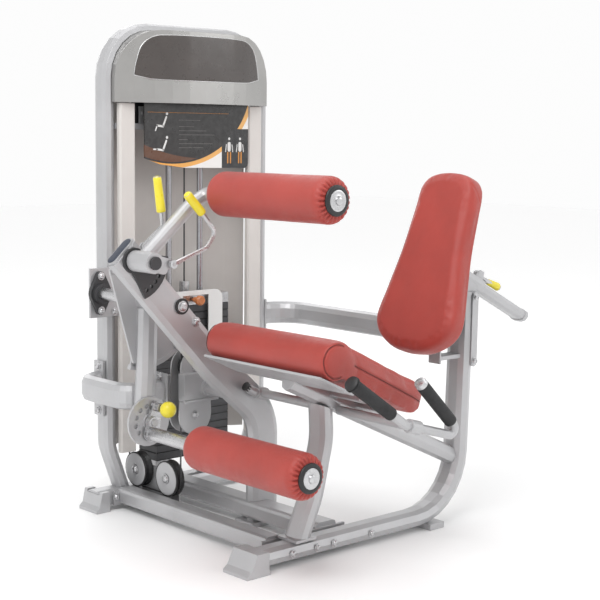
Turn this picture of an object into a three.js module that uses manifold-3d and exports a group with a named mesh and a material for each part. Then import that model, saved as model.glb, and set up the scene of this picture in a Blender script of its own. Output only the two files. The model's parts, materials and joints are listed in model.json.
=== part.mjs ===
// A selectorised leg extension and leg curl machine: a weight stack tower with its covers, a base
// frame, a pivoting leg arm with an adjustable roller pad, a hinged thigh roller, a sloping seat and
// a backrest that slides along an inclined tube.
//
// Millimetres, +Z up, floor at Z = 0, origin on the floor under the middle of the machine.
// The user faces -X. The weight tower stands on the +Y side, and the seat is on the -Y side.
import * as THREE from "three";
import { mergeVertices } from "three/addons/utils/BufferGeometryUtils.js";
import Module from "manifold-3d";

const wasm = await Module();
wasm.setup();

// ---------------------------------------------------------------- driving dimensions

const GAP = 0.3; // between pieces that touch
const HALF_PI = Math.PI / 2;

// Weight tower: one arch of flat-oval tube in the plane Y = TOWER_Y.
const TOWER_Y = 490;
const TOWER_MIDDLE = -86;
const COLUMN_SPREAD = 301; // from the middle to the centre of each column
const ARCH_TUBE = [67, 40]; // across the arch's plane, in the plane
const ARCH_TOP = 1490;
const ARCH_BEND = 145;
const COLUMN_LEFT = TOWER_MIDDLE - COLUMN_SPREAD;
const COLUMN_RIGHT = TOWER_MIDDLE + COLUMN_SPREAD;
const ARCH_FRONT = TOWER_Y - ARCH_TUBE[0] / 2;
const COVER_FRONT = ARCH_FRONT - 18;
const COVER_BOTTOM = 178;
const HEADER_BOTTOM = 1250;
const HEADER_BOW = 58;
const HEAD_PLATE_Z = 1170;

// Weight stack and its cable.
const STACK_SIZE = [287, 95]; // X, Y
const STACK_BOTTOM = 130;
const STACK_TOP = 650;
const PLATE_PITCH = 26;
const ROD_SPREAD = 62;
const ROD_RADIUS = 9.5;
const CABLE_RADIUS = 2.5;

// Base frame.
const RAIL_TOP = 62;
const SEAT_Y = -288;
const SEAT_RAIL = [80, 48]; // Y, Z
const POST_X = 367;
const POST_TOP = 700;
const MAIN_POST_Y = 62.5;
const MAIN_POST = [45, 107]; // Y, across its run

// Leg arm: everything turns about the knee axis, which runs along Y.
const KNEE = [-440, 680]; // X, Z
const ARM_Y = 200;
const CAM_Y = 231;
const CAM_RADIUS = 200;
const ROM_DISC = [-457, 334];
const ROM_RADIUS = 72;
const LOWER_ROLLER = [-457, 300];
const UPPER_ROLLER = [-378, 996];
const ROLLER_LENGTH = 552;
const ROLLER_RADIUS = 62;
// The two ends of both rollers, along Y.
const ROLLER_NEAR = -516;
const ROLLER_FAR = -52;

// Thigh pad unit: turns about an axis along Y at the top end of the main post.
const HUB = [-603, 817];
const HUB_Y = -15;

// Seat and backrest.
const SEAT_SLOPE = 0.43; // radians, down to the rear
const BACK_LEAN = 0.33; // radians from upright
const SLIDE_SLOPE = 0.46; // radians, down to the rear
const SLIDE_POINT = [POST_X, 739]; // on the slide's centre line, above the backrest post

// Pulleys.
const DROP_X = -295; // the plane in which the cable drops to the base pulleys
const BRACKET_X = DROP_X + 30 + 3.5;

// ---------------------------------------------------------------- colours

const COLOURS = {
  paint: [0xc4c4c4, 0.42, 0.35],
  cover: [0xd1ccc8, 0.55, 0.1],
  satin: [0x9a9997, 0.4, 0.5],
  badge: [0x1d1815, 0.35, 0.0],
  steel: [0xb8babb, 0.3, 0.9],
  chrome: [0xd4d6d8, 0.12, 1.0],
  black: [0x1c1c1e, 0.6, 0.0],
  iron: [0x2c2c2f, 0.55, 0.4],
  white: [0xe6e4df, 0.5, 0.0],
  vinyl: [0xbe5048, 0.5, 0.0],
  foam: [0x232325, 0.85, 0.0],
  yellow: [0xe6dc28, 0.45, 0.0],
  orange: [0xbe6e1e, 0.45, 0.0],
  cable: [0x2a2a2c, 0.4, 0.2],
};

const machine = new THREE.Group();

function addPart(name, geometry, colour) {
  const [hex, roughness, metalness] = COLOURS[colour];
  const material = new THREE.MeshStandardMaterial({ color: hex, roughness, metalness });
  const mesh = new THREE.Mesh(geometry, material);
  mesh.name = name;
  machine.add(mesh);
  return mesh;
}

// ---------------------------------------------------------------- solids

// A closed geometry as a manifold-3d solid.
function solid(geometry) {
  const bare = geometry.clone();
  bare.deleteAttribute("normal");
  bare.deleteAttribute("uv");
  const merged = mergeVertices(bare, 1e-4);
  const vertProperties = new Float32Array(merged.attributes.position.array);
  const triVerts = new Uint32Array(merged.index.array);
  return new wasm.Manifold(new wasm.Mesh({ numProp: 3, vertProperties, triVerts }));
}

function toGeometry(made) {
  const mesh = made.getMesh();
  const geometry = new THREE.BufferGeometry();
  geometry.setAttribute("position", new THREE.BufferAttribute(mesh.vertProperties, 3));
  geometry.setIndex(new THREE.BufferAttribute(mesh.triVerts, 1));
  geometry.computeVertexNormals();
  return geometry;
}

function join(...geometries) {
  return toGeometry(geometries.map(solid).reduce((a, b) => a.add(b)));
}

function cut(geometry, ...cutters) {
  return toGeometry([geometry, ...cutters].map(solid).reduce((a, b) => a.subtract(b)));
}

function common(geometry, other) {
  return toGeometry(solid(geometry).intersect(solid(other)));
}

// ---------------------------------------------------------------- shapes

function point(x, y, z) {
  return new THREE.Vector3(x, y, z);
}

// A box between two corners.
function box(low, high) {
  const size = high.map((value, axis) => value - low[axis]);
  const geometry = new THREE.BoxGeometry(...size);
  return geometry.translate(...low.map((value, axis) => value + size[axis] / 2));
}

// A cylinder from one point to another.
function rod(from, to, radius, sides = 16, endRadius = radius) {
  const start = point(...from);
  const run = point(...to).sub(start);
  const geometry = new THREE.CylinderGeometry(endRadius, radius, run.length(), sides);
  const turn = new THREE.Quaternion();
  turn.setFromUnitVectors(point(0, 1, 0), run.clone().normalize());
  geometry.applyQuaternion(turn);
  return geometry.translate(...start.addScaledVector(run, 0.5).toArray());
}

// A cylinder along Y through (x, z), from one Y to the other.
function pin(x, z, fromY, toY, radius, sides = 14) {
  return rod([x, fromY, z], [x, toY, z], radius, sides);
}

// A hexagon bolt head or nut that stands on the face at `at` and points along `axis`.
function boltHead(at, axis, radius = 9, height = 7) {
  const foot = point(...at).addScaledVector(point(...axis), -1);
  const tip = point(...at).addScaledVector(point(...axis), height);
  return rod(foot.toArray(), tip.toArray(), radius, 6);
}

// A flat-oval or rounded outline, `across` by `along`, with quarter arcs of `steps` segments.
function roundedOutline(across, along, radius, steps = 2) {
  const shape = new THREE.Shape();
  const corners = [
    [across / 2 - radius, along / 2 - radius, 0],
    [radius - across / 2, along / 2 - radius, 1],
    [radius - across / 2, radius - along / 2, 2],
    [across / 2 - radius, radius - along / 2, 3],
  ];
  const points = [];
  for (const [x, y, quarter] of corners) {
    for (let step = 0; step <= steps; step += 1) {
      const angle = (quarter + step / steps) * HALF_PI;
      points.push(new THREE.Vector2(x + radius * Math.cos(angle), y + radius * Math.sin(angle)));
    }
  }
  const spaced = points.filter((p, i) => p.distanceTo(points[(i + 1) % points.length]) > 0.1);
  shape.setFromPoints(spaced);
  return shape;
}

function flatOval(across, along) {
  const radius = Math.min(across, along) / 2;
  return roundedOutline(across, along, radius, 2);
}

function circle(radius, sides = 12) {
  const points = [];
  for (let i = 0; i < sides; i += 1) {
    const angle = (i / sides) * 2 * Math.PI;
    points.push(new THREE.Vector2(radius * Math.cos(angle), radius * Math.sin(angle)));
  }
  return new THREE.Shape(points);
}

// A route whose samples are exactly its own points.
class Route extends THREE.Curve {
  constructor(points) {
    super();
    this.points = points;
  }

  index(u) {
    return Math.round(u * (this.points.length - 1));
  }

  getPointAt(u, target = new THREE.Vector3()) {
    return target.copy(this.points[this.index(u)]);
  }

  getTangentAt(u, target = new THREE.Vector3()) {
    const i = this.index(u);
    const here = this.points[i];
    const before = this.points[i - 1] ?? here;
    const after = this.points[i + 1] ?? here;
    const arriving = here.clone().sub(before).normalize();
    const leaving = after.clone().sub(here).normalize();
    return target.copy(arriving).add(leaving).normalize();
  }
}

// A polyline with each inner corner [x, y, z, bend radius] rounded into an arc.
function rounded(corners, arcSteps = 5) {
  const points = [];
  corners.forEach(([x, y, z, radius], i) => {
    const corner = point(x, y, z);
    if (!radius || i === 0 || i === corners.length - 1) {
      points.push(corner);
      return;
    }
    const back = point(...corners[i - 1]).sub(corner).normalize();
    const ahead = point(...corners[i + 1]).sub(corner).normalize();
    const half = back.angleTo(ahead) / 2;
    const centre = back.clone().add(ahead).normalize();
    centre.multiplyScalar(radius / Math.sin(half)).add(corner);
    const reach = radius / Math.tan(half);
    const from = corner.clone().addScaledVector(back, reach).sub(centre);
    const to = corner.clone().addScaledVector(ahead, reach).sub(centre);
    const sweep = from.angleTo(to);
    for (let step = 0; step <= arcSteps; step += 1) {
      const t = step / arcSteps;
      const spot = from.clone().multiplyScalar(Math.sin((1 - t) * sweep) / Math.sin(sweep));
      spot.addScaledVector(to, Math.sin(t * sweep) / Math.sin(sweep)).add(centre);
      points.push(spot);
    }
  });
  return points;
}

function sweep(section, points) {
  const extrudePath = new Route(points);
  return new THREE.ExtrudeGeometry(section, { extrudePath, steps: points.length - 1 });
}

// A tube bent in the plane Y = y. Corners are [x, z, bend radius]; the section is [along Y, in plane].
function tubeInXZ(section, y, corners, arcSteps = 5) {
  const flat = corners.map(([x, z, radius]) => [x, z, 0, radius]);
  const geometry = sweep(flatOval(...section), rounded(flat, arcSteps));
  return geometry.rotateX(HALF_PI).translate(0, y, 0);
}

// A tube bent in the plane Z = z. Corners are [x, y, bend radius]; the section is [along Z, in plane].
function tubeInXY(section, z, corners, arcSteps = 5) {
  const flat = corners.map(([x, y, radius]) => [x, y, 0, radius]);
  return sweep(flatOval(...section), rounded(flat, arcSteps)).translate(0, 0, z);
}

function roundTube(radius, corners, sides = 12, arcSteps = 4) {
  return sweep(circle(radius, sides), rounded(corners, arcSteps));
}

// A plate with an outline drawn in X and Z, between two Y values.
function plateInXZ(outline, fromY, toY) {
  const shape = outline instanceof THREE.Shape ? outline : new THREE.Shape(outline);
  const geometry = new THREE.ExtrudeGeometry(shape, { depth: toY - fromY, bevelEnabled: false });
  return geometry.rotateX(HALF_PI).translate(0, toY, 0);
}

// A plate with an outline drawn in X and Y, between two Z values.
function plateInXY(outline, fromZ, toZ) {
  const shape = outline instanceof THREE.Shape ? outline : new THREE.Shape(outline);
  const geometry = new THREE.ExtrudeGeometry(shape, { depth: toZ - fromZ, bevelEnabled: false });
  return geometry.translate(0, 0, fromZ);
}

function outline(...pairs) {
  return pairs.map(([x, z]) => new THREE.Vector2(x, z));
}

// Points on an arc about (x, z), from one angle to another, in radians from +X towards +Z.
function arc(x, z, radius, from, to, steps) {
  const points = [];
  for (let step = 0; step <= steps; step += 1) {
    const angle = from + ((to - from) * step) / steps;
    points.push(new THREE.Vector2(x + radius * Math.cos(angle), z + radius * Math.sin(angle)));
  }
  return points;
}

// A turned piece whose axis is Y, centred on (x, z); the profile is [radius, y] pairs.
function turned(x, z, profile, sides = 20) {
  const points = profile.map(([radius, y]) => new THREE.Vector2(radius, y));
  return new THREE.LatheGeometry(points, sides).translate(x, 0, z);
}

// ---------------------------------------------------------------- weight tower

// A thin sheet bowed towards -Y: flat chord at edgeY, middle forward by `bow`, plan outline for Z extrusion.
function bowedOutline(fromX, toX, edgeY, bow, thickness, steps = 10) {
  const front = [];
  const back = [];
  for (let step = 0; step <= steps; step += 1) {
    const t = step / steps;
    const x = fromX + (toX - fromX) * t;
    const y = edgeY - bow * (1 - (2 * t - 1) ** 2);
    front.push(new THREE.Vector2(x, y));
    back.push(new THREE.Vector2(x, y + thickness));
  }
  return [...front, ...back.reverse()];
}

function makeArch() {
  const foot = 62; // each column's foot is set in by this much
  const arch = tubeInXZ(ARCH_TUBE, TOWER_Y, [
    [COLUMN_LEFT + foot, RAIL_TOP - 30],
    [COLUMN_LEFT, 200, 130],
    [COLUMN_LEFT, ARCH_TOP - ARCH_TUBE[1] / 2, ARCH_BEND],
    [COLUMN_RIGHT, ARCH_TOP - ARCH_TUBE[1] / 2, ARCH_BEND],
    [COLUMN_RIGHT, 200, 130],
    [COLUMN_RIGHT - foot, RAIL_TOP - 30],
  ], 6);
  const below = box([-600, 300, -50], [400, 700, RAIL_TOP + GAP]);
  return cut(arch, below);
}

// The rail along the tower's foot, with two blocks on which the weight stack rests.
function makeTowerRail() {
  const from = COLUMN_LEFT - 50;
  const to = COLUMN_RIGHT + 50;
  const shape = roundedOutline(50, 66, 14, 2);
  const rail = new THREE.ExtrudeGeometry(shape, { depth: to - from, bevelEnabled: false });
  rail.rotateY(HALF_PI).translate(from, TOWER_Y, RAIL_TOP - 25);
  const blocks = [-1, 1].map((side) => {
    const x = TOWER_MIDDLE + side * 110;
    return box([x - 25, TOWER_Y - 30, RAIL_TOP - 15], [x + 25, TOWER_Y + 30, STACK_BOTTOM - GAP]);
  });
  return join(rail, ...blocks);
}

// A wedge-shaped cap over the end of the tower rail, with a lip on the floor. `side` is -1 or 1 along X.
function makeTowerFoot(side) {
  const end = side < 0 ? COLUMN_LEFT - 50 : COLUMN_RIGHT + 50;
  const inner = end - side * 30;
  const tip = end + side * 8;
  const toe = end + side * 20;
  const shape = outline([inner, 0], [toe, 0], [toe, 9], [tip, 20], [end - side * 2, 66], [inner, 66]);
  const block = plateInXZ(shape, TOWER_Y - 48, TOWER_Y + 48);
  const railEnd = box(
    [Math.min(end, inner - side * 5) - GAP, TOWER_Y - 33 - GAP, RAIL_TOP - 50 - GAP],
    [Math.max(end, inner - side * 5) + GAP, TOWER_Y + 33 + GAP, RAIL_TOP + GAP],
  );
  const above = box([inner - 60, TOWER_Y - 60, RAIL_TOP + GAP], [inner + 60, TOWER_Y + 60, 90]);
  return cut(block, railEnd, above);
}

// A shallow channel that covers the gap between a column and the stack opening.
function makeCoverStrip(fromX, toX) {
  const back = ARCH_FRONT - GAP;
  const wall = 3;
  const shape = outline(
    [fromX, back], [fromX, COVER_FRONT + 5], [fromX + 5, COVER_FRONT],
    [toX - 5, COVER_FRONT], [toX, COVER_FRONT + 5], [toX, back],
    [toX - wall, back], [toX - wall, COVER_FRONT + 6], [toX - 6, COVER_FRONT + wall],
    [fromX + 6, COVER_FRONT + wall], [fromX + wall, COVER_FRONT + 6], [fromX + wall, back],
  );
  return plateInXY(shape, COVER_BOTTOM, HEADER_BOTTOM - 2);
}

function makeRearCover() {
  const shape = bowedOutline(COLUMN_LEFT + 25, COLUMN_RIGHT - 25, TOWER_Y + 36, -84, 3);
  return plateInXY(shape, COVER_BOTTOM, ARCH_TOP - 70);
}

// The header's outline in X and Z: the arch's own outline, set in by `inset`.
function headerOutline(inset, bottom) {
  const left = COLUMN_LEFT - 20 + inset;
  const right = COLUMN_RIGHT + 20 - inset;
  const top = ARCH_TOP - inset;
  const radius = ARCH_BEND + 20 - inset;
  return [
    new THREE.Vector2(left, bottom),
    new THREE.Vector2(right, bottom),
    ...arc(right - radius, top - radius, radius, 0, HALF_PI, 6),
    ...arc(left + radius, top - radius, radius, HALF_PI, Math.PI, 6),
  ];
}

// The plan shape of everything behind the header's bowed face, in front of the arch.
function behindBow(inset, backY) {
  const left = COLUMN_LEFT - 20 + 22 + inset;
  const right = COLUMN_RIGHT + 20 - 22 - inset;
  const front = bowedOutline(left, right, COVER_FRONT + inset, HEADER_BOW, 1).slice(0, 11);
  return [...front, new THREE.Vector2(right, backY), new THREE.Vector2(left, backY)];
}

function makeHeader() {
  const outer = plateInXZ(headerOutline(22, HEADER_BOTTOM), 300, ARCH_FRONT - GAP);
  const inner = plateInXZ(headerOutline(25, HEADER_BOTTOM - 20), 300, ARCH_FRONT + 5);
  const shell = common(outer, plateInXY(behindBow(0, ARCH_FRONT - GAP), 1200, 1500));
  const hollow = common(inner, plateInXY(behindBow(3, ARCH_FRONT + 5), 1200, 1500));
  return cut(shell, hollow);
}

function makeBadge() {
  const low = 1318;
  const high = 1455;
  const half = 243;
  const shape = [
    ...arc(TOWER_MIDDLE - half + 20, low + 20, 20, Math.PI, 1.5 * Math.PI, 2),
    ...arc(TOWER_MIDDLE + half - 20, low + 20, 20, -HALF_PI, 0, 2),
    ...arc(TOWER_MIDDLE + half - 100, high - 100, 100, 0, HALF_PI, 5),
    ...arc(TOWER_MIDDLE - half + 100, high - 100, 100, HALF_PI, Math.PI, 5),
  ];
  const left = COLUMN_LEFT + 2;
  const right = COLUMN_RIGHT - 2;
  const sheet = bowedOutline(left, right, COVER_FRONT - 3 - GAP, HEADER_BOW, 3, 20);
  return common(plateInXZ(shape, 300, 460), plateInXY(sheet, 1300, 1470));
}

// The instruction board: its lower left edge is swept up, and its top runs up inside the header.
function makePlacard() {
  const left = TOWER_MIDDLE - 195;
  const right = TOWER_MIDDLE + 215;
  const low = 1050;
  const shape = [
    new THREE.Vector2(left, 1300),
    new THREE.Vector2(left, low + 33),
    new THREE.Vector2(left + 60, low + 14),
    new THREE.Vector2(left + 150, low + 3),
    ...arc(right - 15, low + 15, 15, -HALF_PI, 0, 3),
    new THREE.Vector2(right, 1300),
  ];
  return plateInXZ(shape, ARCH_FRONT - 24, ARCH_FRONT - 20);
}

// The crossbar that holds the guide rods, with two tabs for the board and two ears for the top pulleys.
function makeHeadPlate() {
  const low = HEAD_PLATE_Z;
  const bar = box([COLUMN_LEFT + 20 + GAP, TOWER_Y - 30, low], [COLUMN_RIGHT - 20 - GAP, TOWER_Y + 30, low + 18]);
  const tabs = [-110, 130].map((x) => box(
    [TOWER_MIDDLE + x - 15, ARCH_FRONT - 20 + GAP, low + 2],
    [TOWER_MIDDLE + x + 15, TOWER_Y - 20, low + 12],
  ));
  const ears = [-20, 20].map((y) => box(
    [DROP_X + 20, TOWER_Y + y - 3, low + 10],
    [TOWER_MIDDLE - 20, TOWER_Y + y + 3, low + 70],
  ));
  const window = box(
    [DROP_X - 10, TOWER_Y - 13, low - 5],
    [TOWER_MIDDLE + 12, TOWER_Y + 13, low + 30],
  );
  const axles = Object.values(TOP_PULLEYS).map((x) => (
    pin(x, TOP_PULLEY_Z, TOWER_Y - 26, TOWER_Y + 26, 8, 12)
  ));
  return join(cut(bar, window), ...tabs, ...ears, ...axles);
}

// A grooved wheel: axis along Y, centred at y = 0, with a bore for its axle.
function wheelProfile(radius, width, bore) {
  const half = width / 2;
  const groove = radius - 6;
  return [
    [bore, -half], [radius, -half], [radius, -half + 3], [groove, -1.5],
    [groove, 1.5], [radius, half - 3], [radius, half], [bore, half], [bore, -half],
  ];
}

function makePulleyY(x, y, z, radius, width, bore) {
  return turned(x, z, wheelProfile(radius, width, bore), 20).translate(0, y, 0);
}

function makePulleyX(x, y, z, radius, width, bore) {
  const wheel = turned(0, 0, wheelProfile(radius, width, bore), 22);
  return wheel.rotateZ(-HALF_PI).translate(x, y, z);
}

const RODS = [TOWER_MIDDLE - ROD_SPREAD, TOWER_MIDDLE + ROD_SPREAD];
const STACK_LOW = [TOWER_MIDDLE - STACK_SIZE[0] / 2, TOWER_Y - STACK_SIZE[1] / 2];
const STACK_HIGH = [TOWER_MIDDLE + STACK_SIZE[0] / 2, TOWER_Y + STACK_SIZE[1] / 2];
const TOP_PLATE_LOW = STACK_TOP - 32;

// Upright holes through the plates: one for each guide rod and, where asked, one for the cable.
function rodHoles(low, high, middleRadius) {
  const bores = RODS.map((x) => [x, ROD_RADIUS + 2]);
  if (middleRadius) {
    bores.push([TOWER_MIDDLE, middleRadius]);
  }
  return bores.map(([x, radius]) => (
    rod([x, TOWER_Y, low - 5], [x, TOWER_Y, high + 5], radius, 8)
  ));
}

function makeRestingPlates() {
  const low = STACK_BOTTOM;
  const high = TOP_PLATE_LOW - GAP;
  const inset = 1.2;
  const core = box([STACK_LOW[0] + inset, STACK_LOW[1] + inset, low + 1], [STACK_HIGH[0] - inset, STACK_HIGH[1] - inset, high - 1]);
  const plates = [];
  const count = Math.round((high - low) / PLATE_PITCH);
  const pitch = (high - low) / count;
  for (let i = 0; i < count; i += 1) {
    plates.push(box([...STACK_LOW, low + i * pitch + 0.8], [...STACK_HIGH, low + (i + 1) * pitch - 0.8]));
  }
  return cut(join(core, ...plates), ...rodHoles(low, high, 0));
}

// The top plate carries a hollow stem that slides over the cable.
function makeTopPlate() {
  const plate = box([...STACK_LOW, TOP_PLATE_LOW], [...STACK_HIGH, STACK_TOP]);
  const collar = rod(
    [TOWER_MIDDLE, TOWER_Y, STACK_TOP - 5], [TOWER_MIDDLE, TOWER_Y, STACK_TOP + 40], 16, 14,
  );
  const pinHole = rod(
    [TOWER_MIDDLE, STACK_LOW[1] - 5, STACK_TOP - 15], [TOWER_MIDDLE, TOWER_Y - 20, STACK_TOP - 15],
    5.5, 12,
  );
  const holes = rodHoles(TOP_PLATE_LOW, STACK_TOP + 45, CABLE_RADIUS + 2);
  return cut(join(plate, collar), ...holes, pinHole);
}

// The rounded guard panel on the front of the top plate, with a window for the pin.
function makeWeightGuard() {
  const width = 216;
  const window = 104;
  const low = 480;
  const high = STACK_TOP + 15;
  const shape = new THREE.Shape([
    ...arc(TOWER_MIDDLE - width / 2 + 30, low + 30, 30, Math.PI, 1.5 * Math.PI, 4),
    ...arc(TOWER_MIDDLE + width / 2 - 30, low + 30, 30, -HALF_PI, 0, 4),
    ...arc(TOWER_MIDDLE + width / 2 - 30, high - 30, 30, 0, HALF_PI, 4),
    ...arc(TOWER_MIDDLE - width / 2 + 30, high - 30, 30, HALF_PI, Math.PI, 4),
  ]);
  const panel = plateInXZ(shape, STACK_LOW[1] - 14, STACK_LOW[1] - 10);
  const opening = box(
    [TOWER_MIDDLE - window / 2, STACK_LOW[1] - 20, low + 35],
    [TOWER_MIDDLE + window / 2, STACK_LOW[1], high - 15],
  );
  const feet = [-1, 1].map((side) => box(
    [TOWER_MIDDLE + side * 80 - 10, STACK_LOW[1] - 12, TOP_PLATE_LOW + 6],
    [TOWER_MIDDLE + side * 80 + 10, STACK_LOW[1] - GAP, STACK_TOP - 4],
  ));
  return join(cut(panel, opening), ...feet);
}

function makeSelectorPin() {
  const z = STACK_TOP - 15;
  const shank = pin(TOWER_MIDDLE, z, STACK_LOW[1] - 12, TOWER_Y - 20 - 2, 4.8, 12);
  const knob = turned(TOWER_MIDDLE, z, [
    [0, STACK_LOW[1] - 46], [12, STACK_LOW[1] - 46], [16, STACK_LOW[1] - 40],
    [16, STACK_LOW[1] - 30], [9, STACK_LOW[1] - 20], [9, STACK_LOW[1] - 8], [0, STACK_LOW[1] - 8],
  ], 16);
  return join(shank, knob);
}

// The lifting cable, from the stack over both top pulleys, down and under both base pulleys, and up
// past the bracket pulleys.
const TOP_PULLEY_Z = HEAD_PLATE_Z + 50;
const TOP_PULLEY_RADIUS = 38;
const TOP_REACH = TOP_PULLEY_RADIUS - 6 + CABLE_RADIUS + 1;
const TOP_PULLEYS = { drop: DROP_X + TOP_REACH, stack: TOWER_MIDDLE - TOP_REACH };
const BASE_PULLEYS = [[446, 118], [287, 118]]; // Y, Z
const BASE_PULLEY_RADIUS = 55;
const BRACKET_PULLEYS = [323, 467]; // Z
const BRACKET_PULLEY_RADIUS = 36;
const CABLE_Y = CAM_Y;

function makeLiftCable() {
  const over = TOP_REACH;
  const under = BASE_PULLEY_RADIUS - 6 + CABLE_RADIUS + 1.5;
  const topZ = TOP_PULLEY_Z + over;
  const [far, near] = BASE_PULLEYS;
  const stackX = TOWER_MIDDLE;
  const corners = [
    [stackX, TOWER_Y, TOP_PLATE_LOW + 4],
    [stackX, TOWER_Y, topZ, over],
    [DROP_X, TOWER_Y, topZ, over],
    [DROP_X, far[0] + under, far[1] - under, under],
    [DROP_X, near[0] - under, near[1] - under, under],
    [DROP_X, CABLE_Y, BRACKET_PULLEYS[1] - 40],
  ];
  return roundTube(CABLE_RADIUS, corners, 6, 7);
}

// ---------------------------------------------------------------- base frame

// The front cross tube also carries the base pulleys' bracket and their two axles.
function makeFrontCrossTube() {
  const tubeX = -340;
  const shape = roundedOutline(60, 50, 12, 2);
  const far = TOWER_Y - 34;
  const tube = new THREE.ExtrudeGeometry(shape, { depth: far + 243, bevelEnabled: false });
  tube.rotateX(HALF_PI).translate(tubeX, far, 42);
  const bracketX = DROP_X + 22;
  const shelf = box([tubeX + 28, 262, 20], [bracketX, 455, 30]);
  const upright = box([bracketX - 6, 262, 20], [bracketX, 455, 134]);
  const axles = BASE_PULLEYS.map(([y, z]) => rod([bracketX - 3, y, z], [DROP_X - 16, y, z], 8, 12));
  const heads = BASE_PULLEYS.map(([y, z]) => boltHead([DROP_X - 16, y, z], [-1, 0, 0], 11, 6));
  const flanges = [
    box([tubeX - 48, TOWER_Y - 33 - 8, 14], [tubeX + 29, TOWER_Y - 33 - GAP, 60]),
    box([tubeX - 44, -247 + GAP, 14], [tubeX + 44, -247 + 8, 58]),
  ];
  const bolts = [-40, 36].map((x) => boltHead([tubeX + x, -239, 36], [0, 1, 0], 8, 6));
  const towerBolt = boltHead([tubeX - 40, TOWER_Y - 41, 40], [0, -1, 0], 8, 6);
  return join(tube, shelf, upright, ...axles, ...heads, ...flanges, ...bolts, towerBolt);
}

const REAR_CROSS_X = -142;

function rearCrossSection(extra) {
  const shape = roundedOutline(78 + 2 * extra, 52 + 2 * extra, 12 + extra, 2);
  const far = TOWER_Y - 34;
  const tube = new THREE.ExtrudeGeometry(shape, { depth: far + 243, bevelEnabled: false });
  return tube.rotateX(HALF_PI).translate(REAR_CROSS_X, far, 46);
}

function makeRearCrossTube() {
  const plate = box([REAR_CROSS_X - 70, -247 + GAP, 14], [REAR_CROSS_X + 70, -239, 58]);
  const bolts = [-56, 56].map((x) => boltHead([REAR_CROSS_X + x, -239, 36], [0, 1, 0], 8, 6));
  return join(rearCrossSection(0), plate, ...bolts);
}

// The seat rail turns up into the backrest post; a bracket stands forward of the post.
function railSweep(extra) {
  const centreZ = 12 + SEAT_RAIL[1] / 2;
  const section = SEAT_RAIL.map((size) => size + 2 * extra);
  return tubeInXZ(section, SEAT_Y, [
    [-470, centreZ], [POST_X - 20, centreZ, 190], [POST_X, POST_TOP, 0],
  ], 7);
}

function makeSeatRail() {
  const bend = railSweep(0);
  const level = box([POST_X - 80, SEAT_Y - 60, POST_TOP], [POST_X + 80, SEAT_Y + 60, POST_TOP + 60]);
  const strip = plateInXZ([
    ...arc(POST_X + 8, 486, 13, Math.PI, 2 * Math.PI, 4),
    ...arc(POST_X + 10, 686, 13, 0, Math.PI, 4),
  ], SEAT_Y - 46, SEAT_Y - 38);
  const stripBolts = [490, 682].map((z) => boltHead([POST_X + 9, SEAT_Y - 46, z], [0, -1, 0], 8, 7));
  const railBolts = [-342, -252, -188, -42].map((x) => (
    boltHead([x, SEAT_Y - 40, 36], [0, -1, 0], 8, 6)
  ));
  const foot = box([196, SEAT_Y - 48, 0], [256, SEAT_Y + 48, 18]);
  const bracket = box([POST_X - 118, SEAT_Y - 22, 500], [POST_X - 12, SEAT_Y + 22, 512]);
  const bracketTip = box([POST_X - 118, SEAT_Y - 22, 490], [POST_X - 112, SEAT_Y + 22, 545]);
  const bracketBolt = boltHead([POST_X - 118, SEAT_Y, 530], [-1, 0, 0], 8, 6);
  return join(
    cut(bend, level), strip, ...stripBolts, ...railBolts, foot, bracket, bracketTip, bracketBolt,
  );
}

// A wedge foot under the front end of the seat rail.
function makeFrontFoot() {
  const shape = outline([-512, 0], [-430, 0], [-436, 22], [-436, 62], [-476, 62], [-498, 20], [-512, 9]);
  const block = plateInXZ(shape, SEAT_Y - 50, SEAT_Y + 50);
  const pocket = box([-470 - GAP, SEAT_Y - 40 - GAP, 12 - GAP], [-420, SEAT_Y + 40 + GAP, 60 + GAP]);
  return cut(block, pocket);
}

function makeFrontSeatPost() {
  const post = tubeInXZ([78, 42], SEAT_Y, [
    [-299, 50], [-243, 175, 300], [-206, 330, 200], [-214, 460, 0],
  ], 5);
  const below = box([-400, SEAT_Y - 60, -20], [-150, SEAT_Y + 60, 60 + GAP]);
  const foot = box([-330, SEAT_Y - 38, 60 + GAP], [-255, SEAT_Y + 38, 68]);
  return cut(join(cut(post, below), foot), aboveSeatBeam());
}

// Points along the seat: s runs down the slope from the top of the front roll, h is square to it.
const SEAT_TOP = [-342, 634];
const SEAT_ROLL = 52; // radius of the front roll
const CUSHION_Y = -270; // middle of the cushion
function alongSeat(s, h) {
  const x = SEAT_TOP[0] + s * Math.cos(SEAT_SLOPE) + h * Math.sin(SEAT_SLOPE);
  const z = SEAT_TOP[1] - s * Math.sin(SEAT_SLOPE) + h * Math.cos(SEAT_SLOPE);
  return [x, z];
}

const BEAM_DEPTH = -114; // the seat beam's centre line, below the seat's top face
const BEAM_SIZE = [50, 54];

// Everything above the underside of the seat beam, near the seat post.
function aboveSeatBeam() {
  const low = BEAM_DEPTH - BEAM_SIZE[1] / 2 - GAP;
  const corners = [[-200, low], [400, low], [400, 200], [-200, 200]];
  const shape = corners.map(([s, h]) => new THREE.Vector2(...alongSeat(s, h)));
  return plateInXZ(shape, SEAT_Y - 60, SEAT_Y + 60);
}

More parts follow.
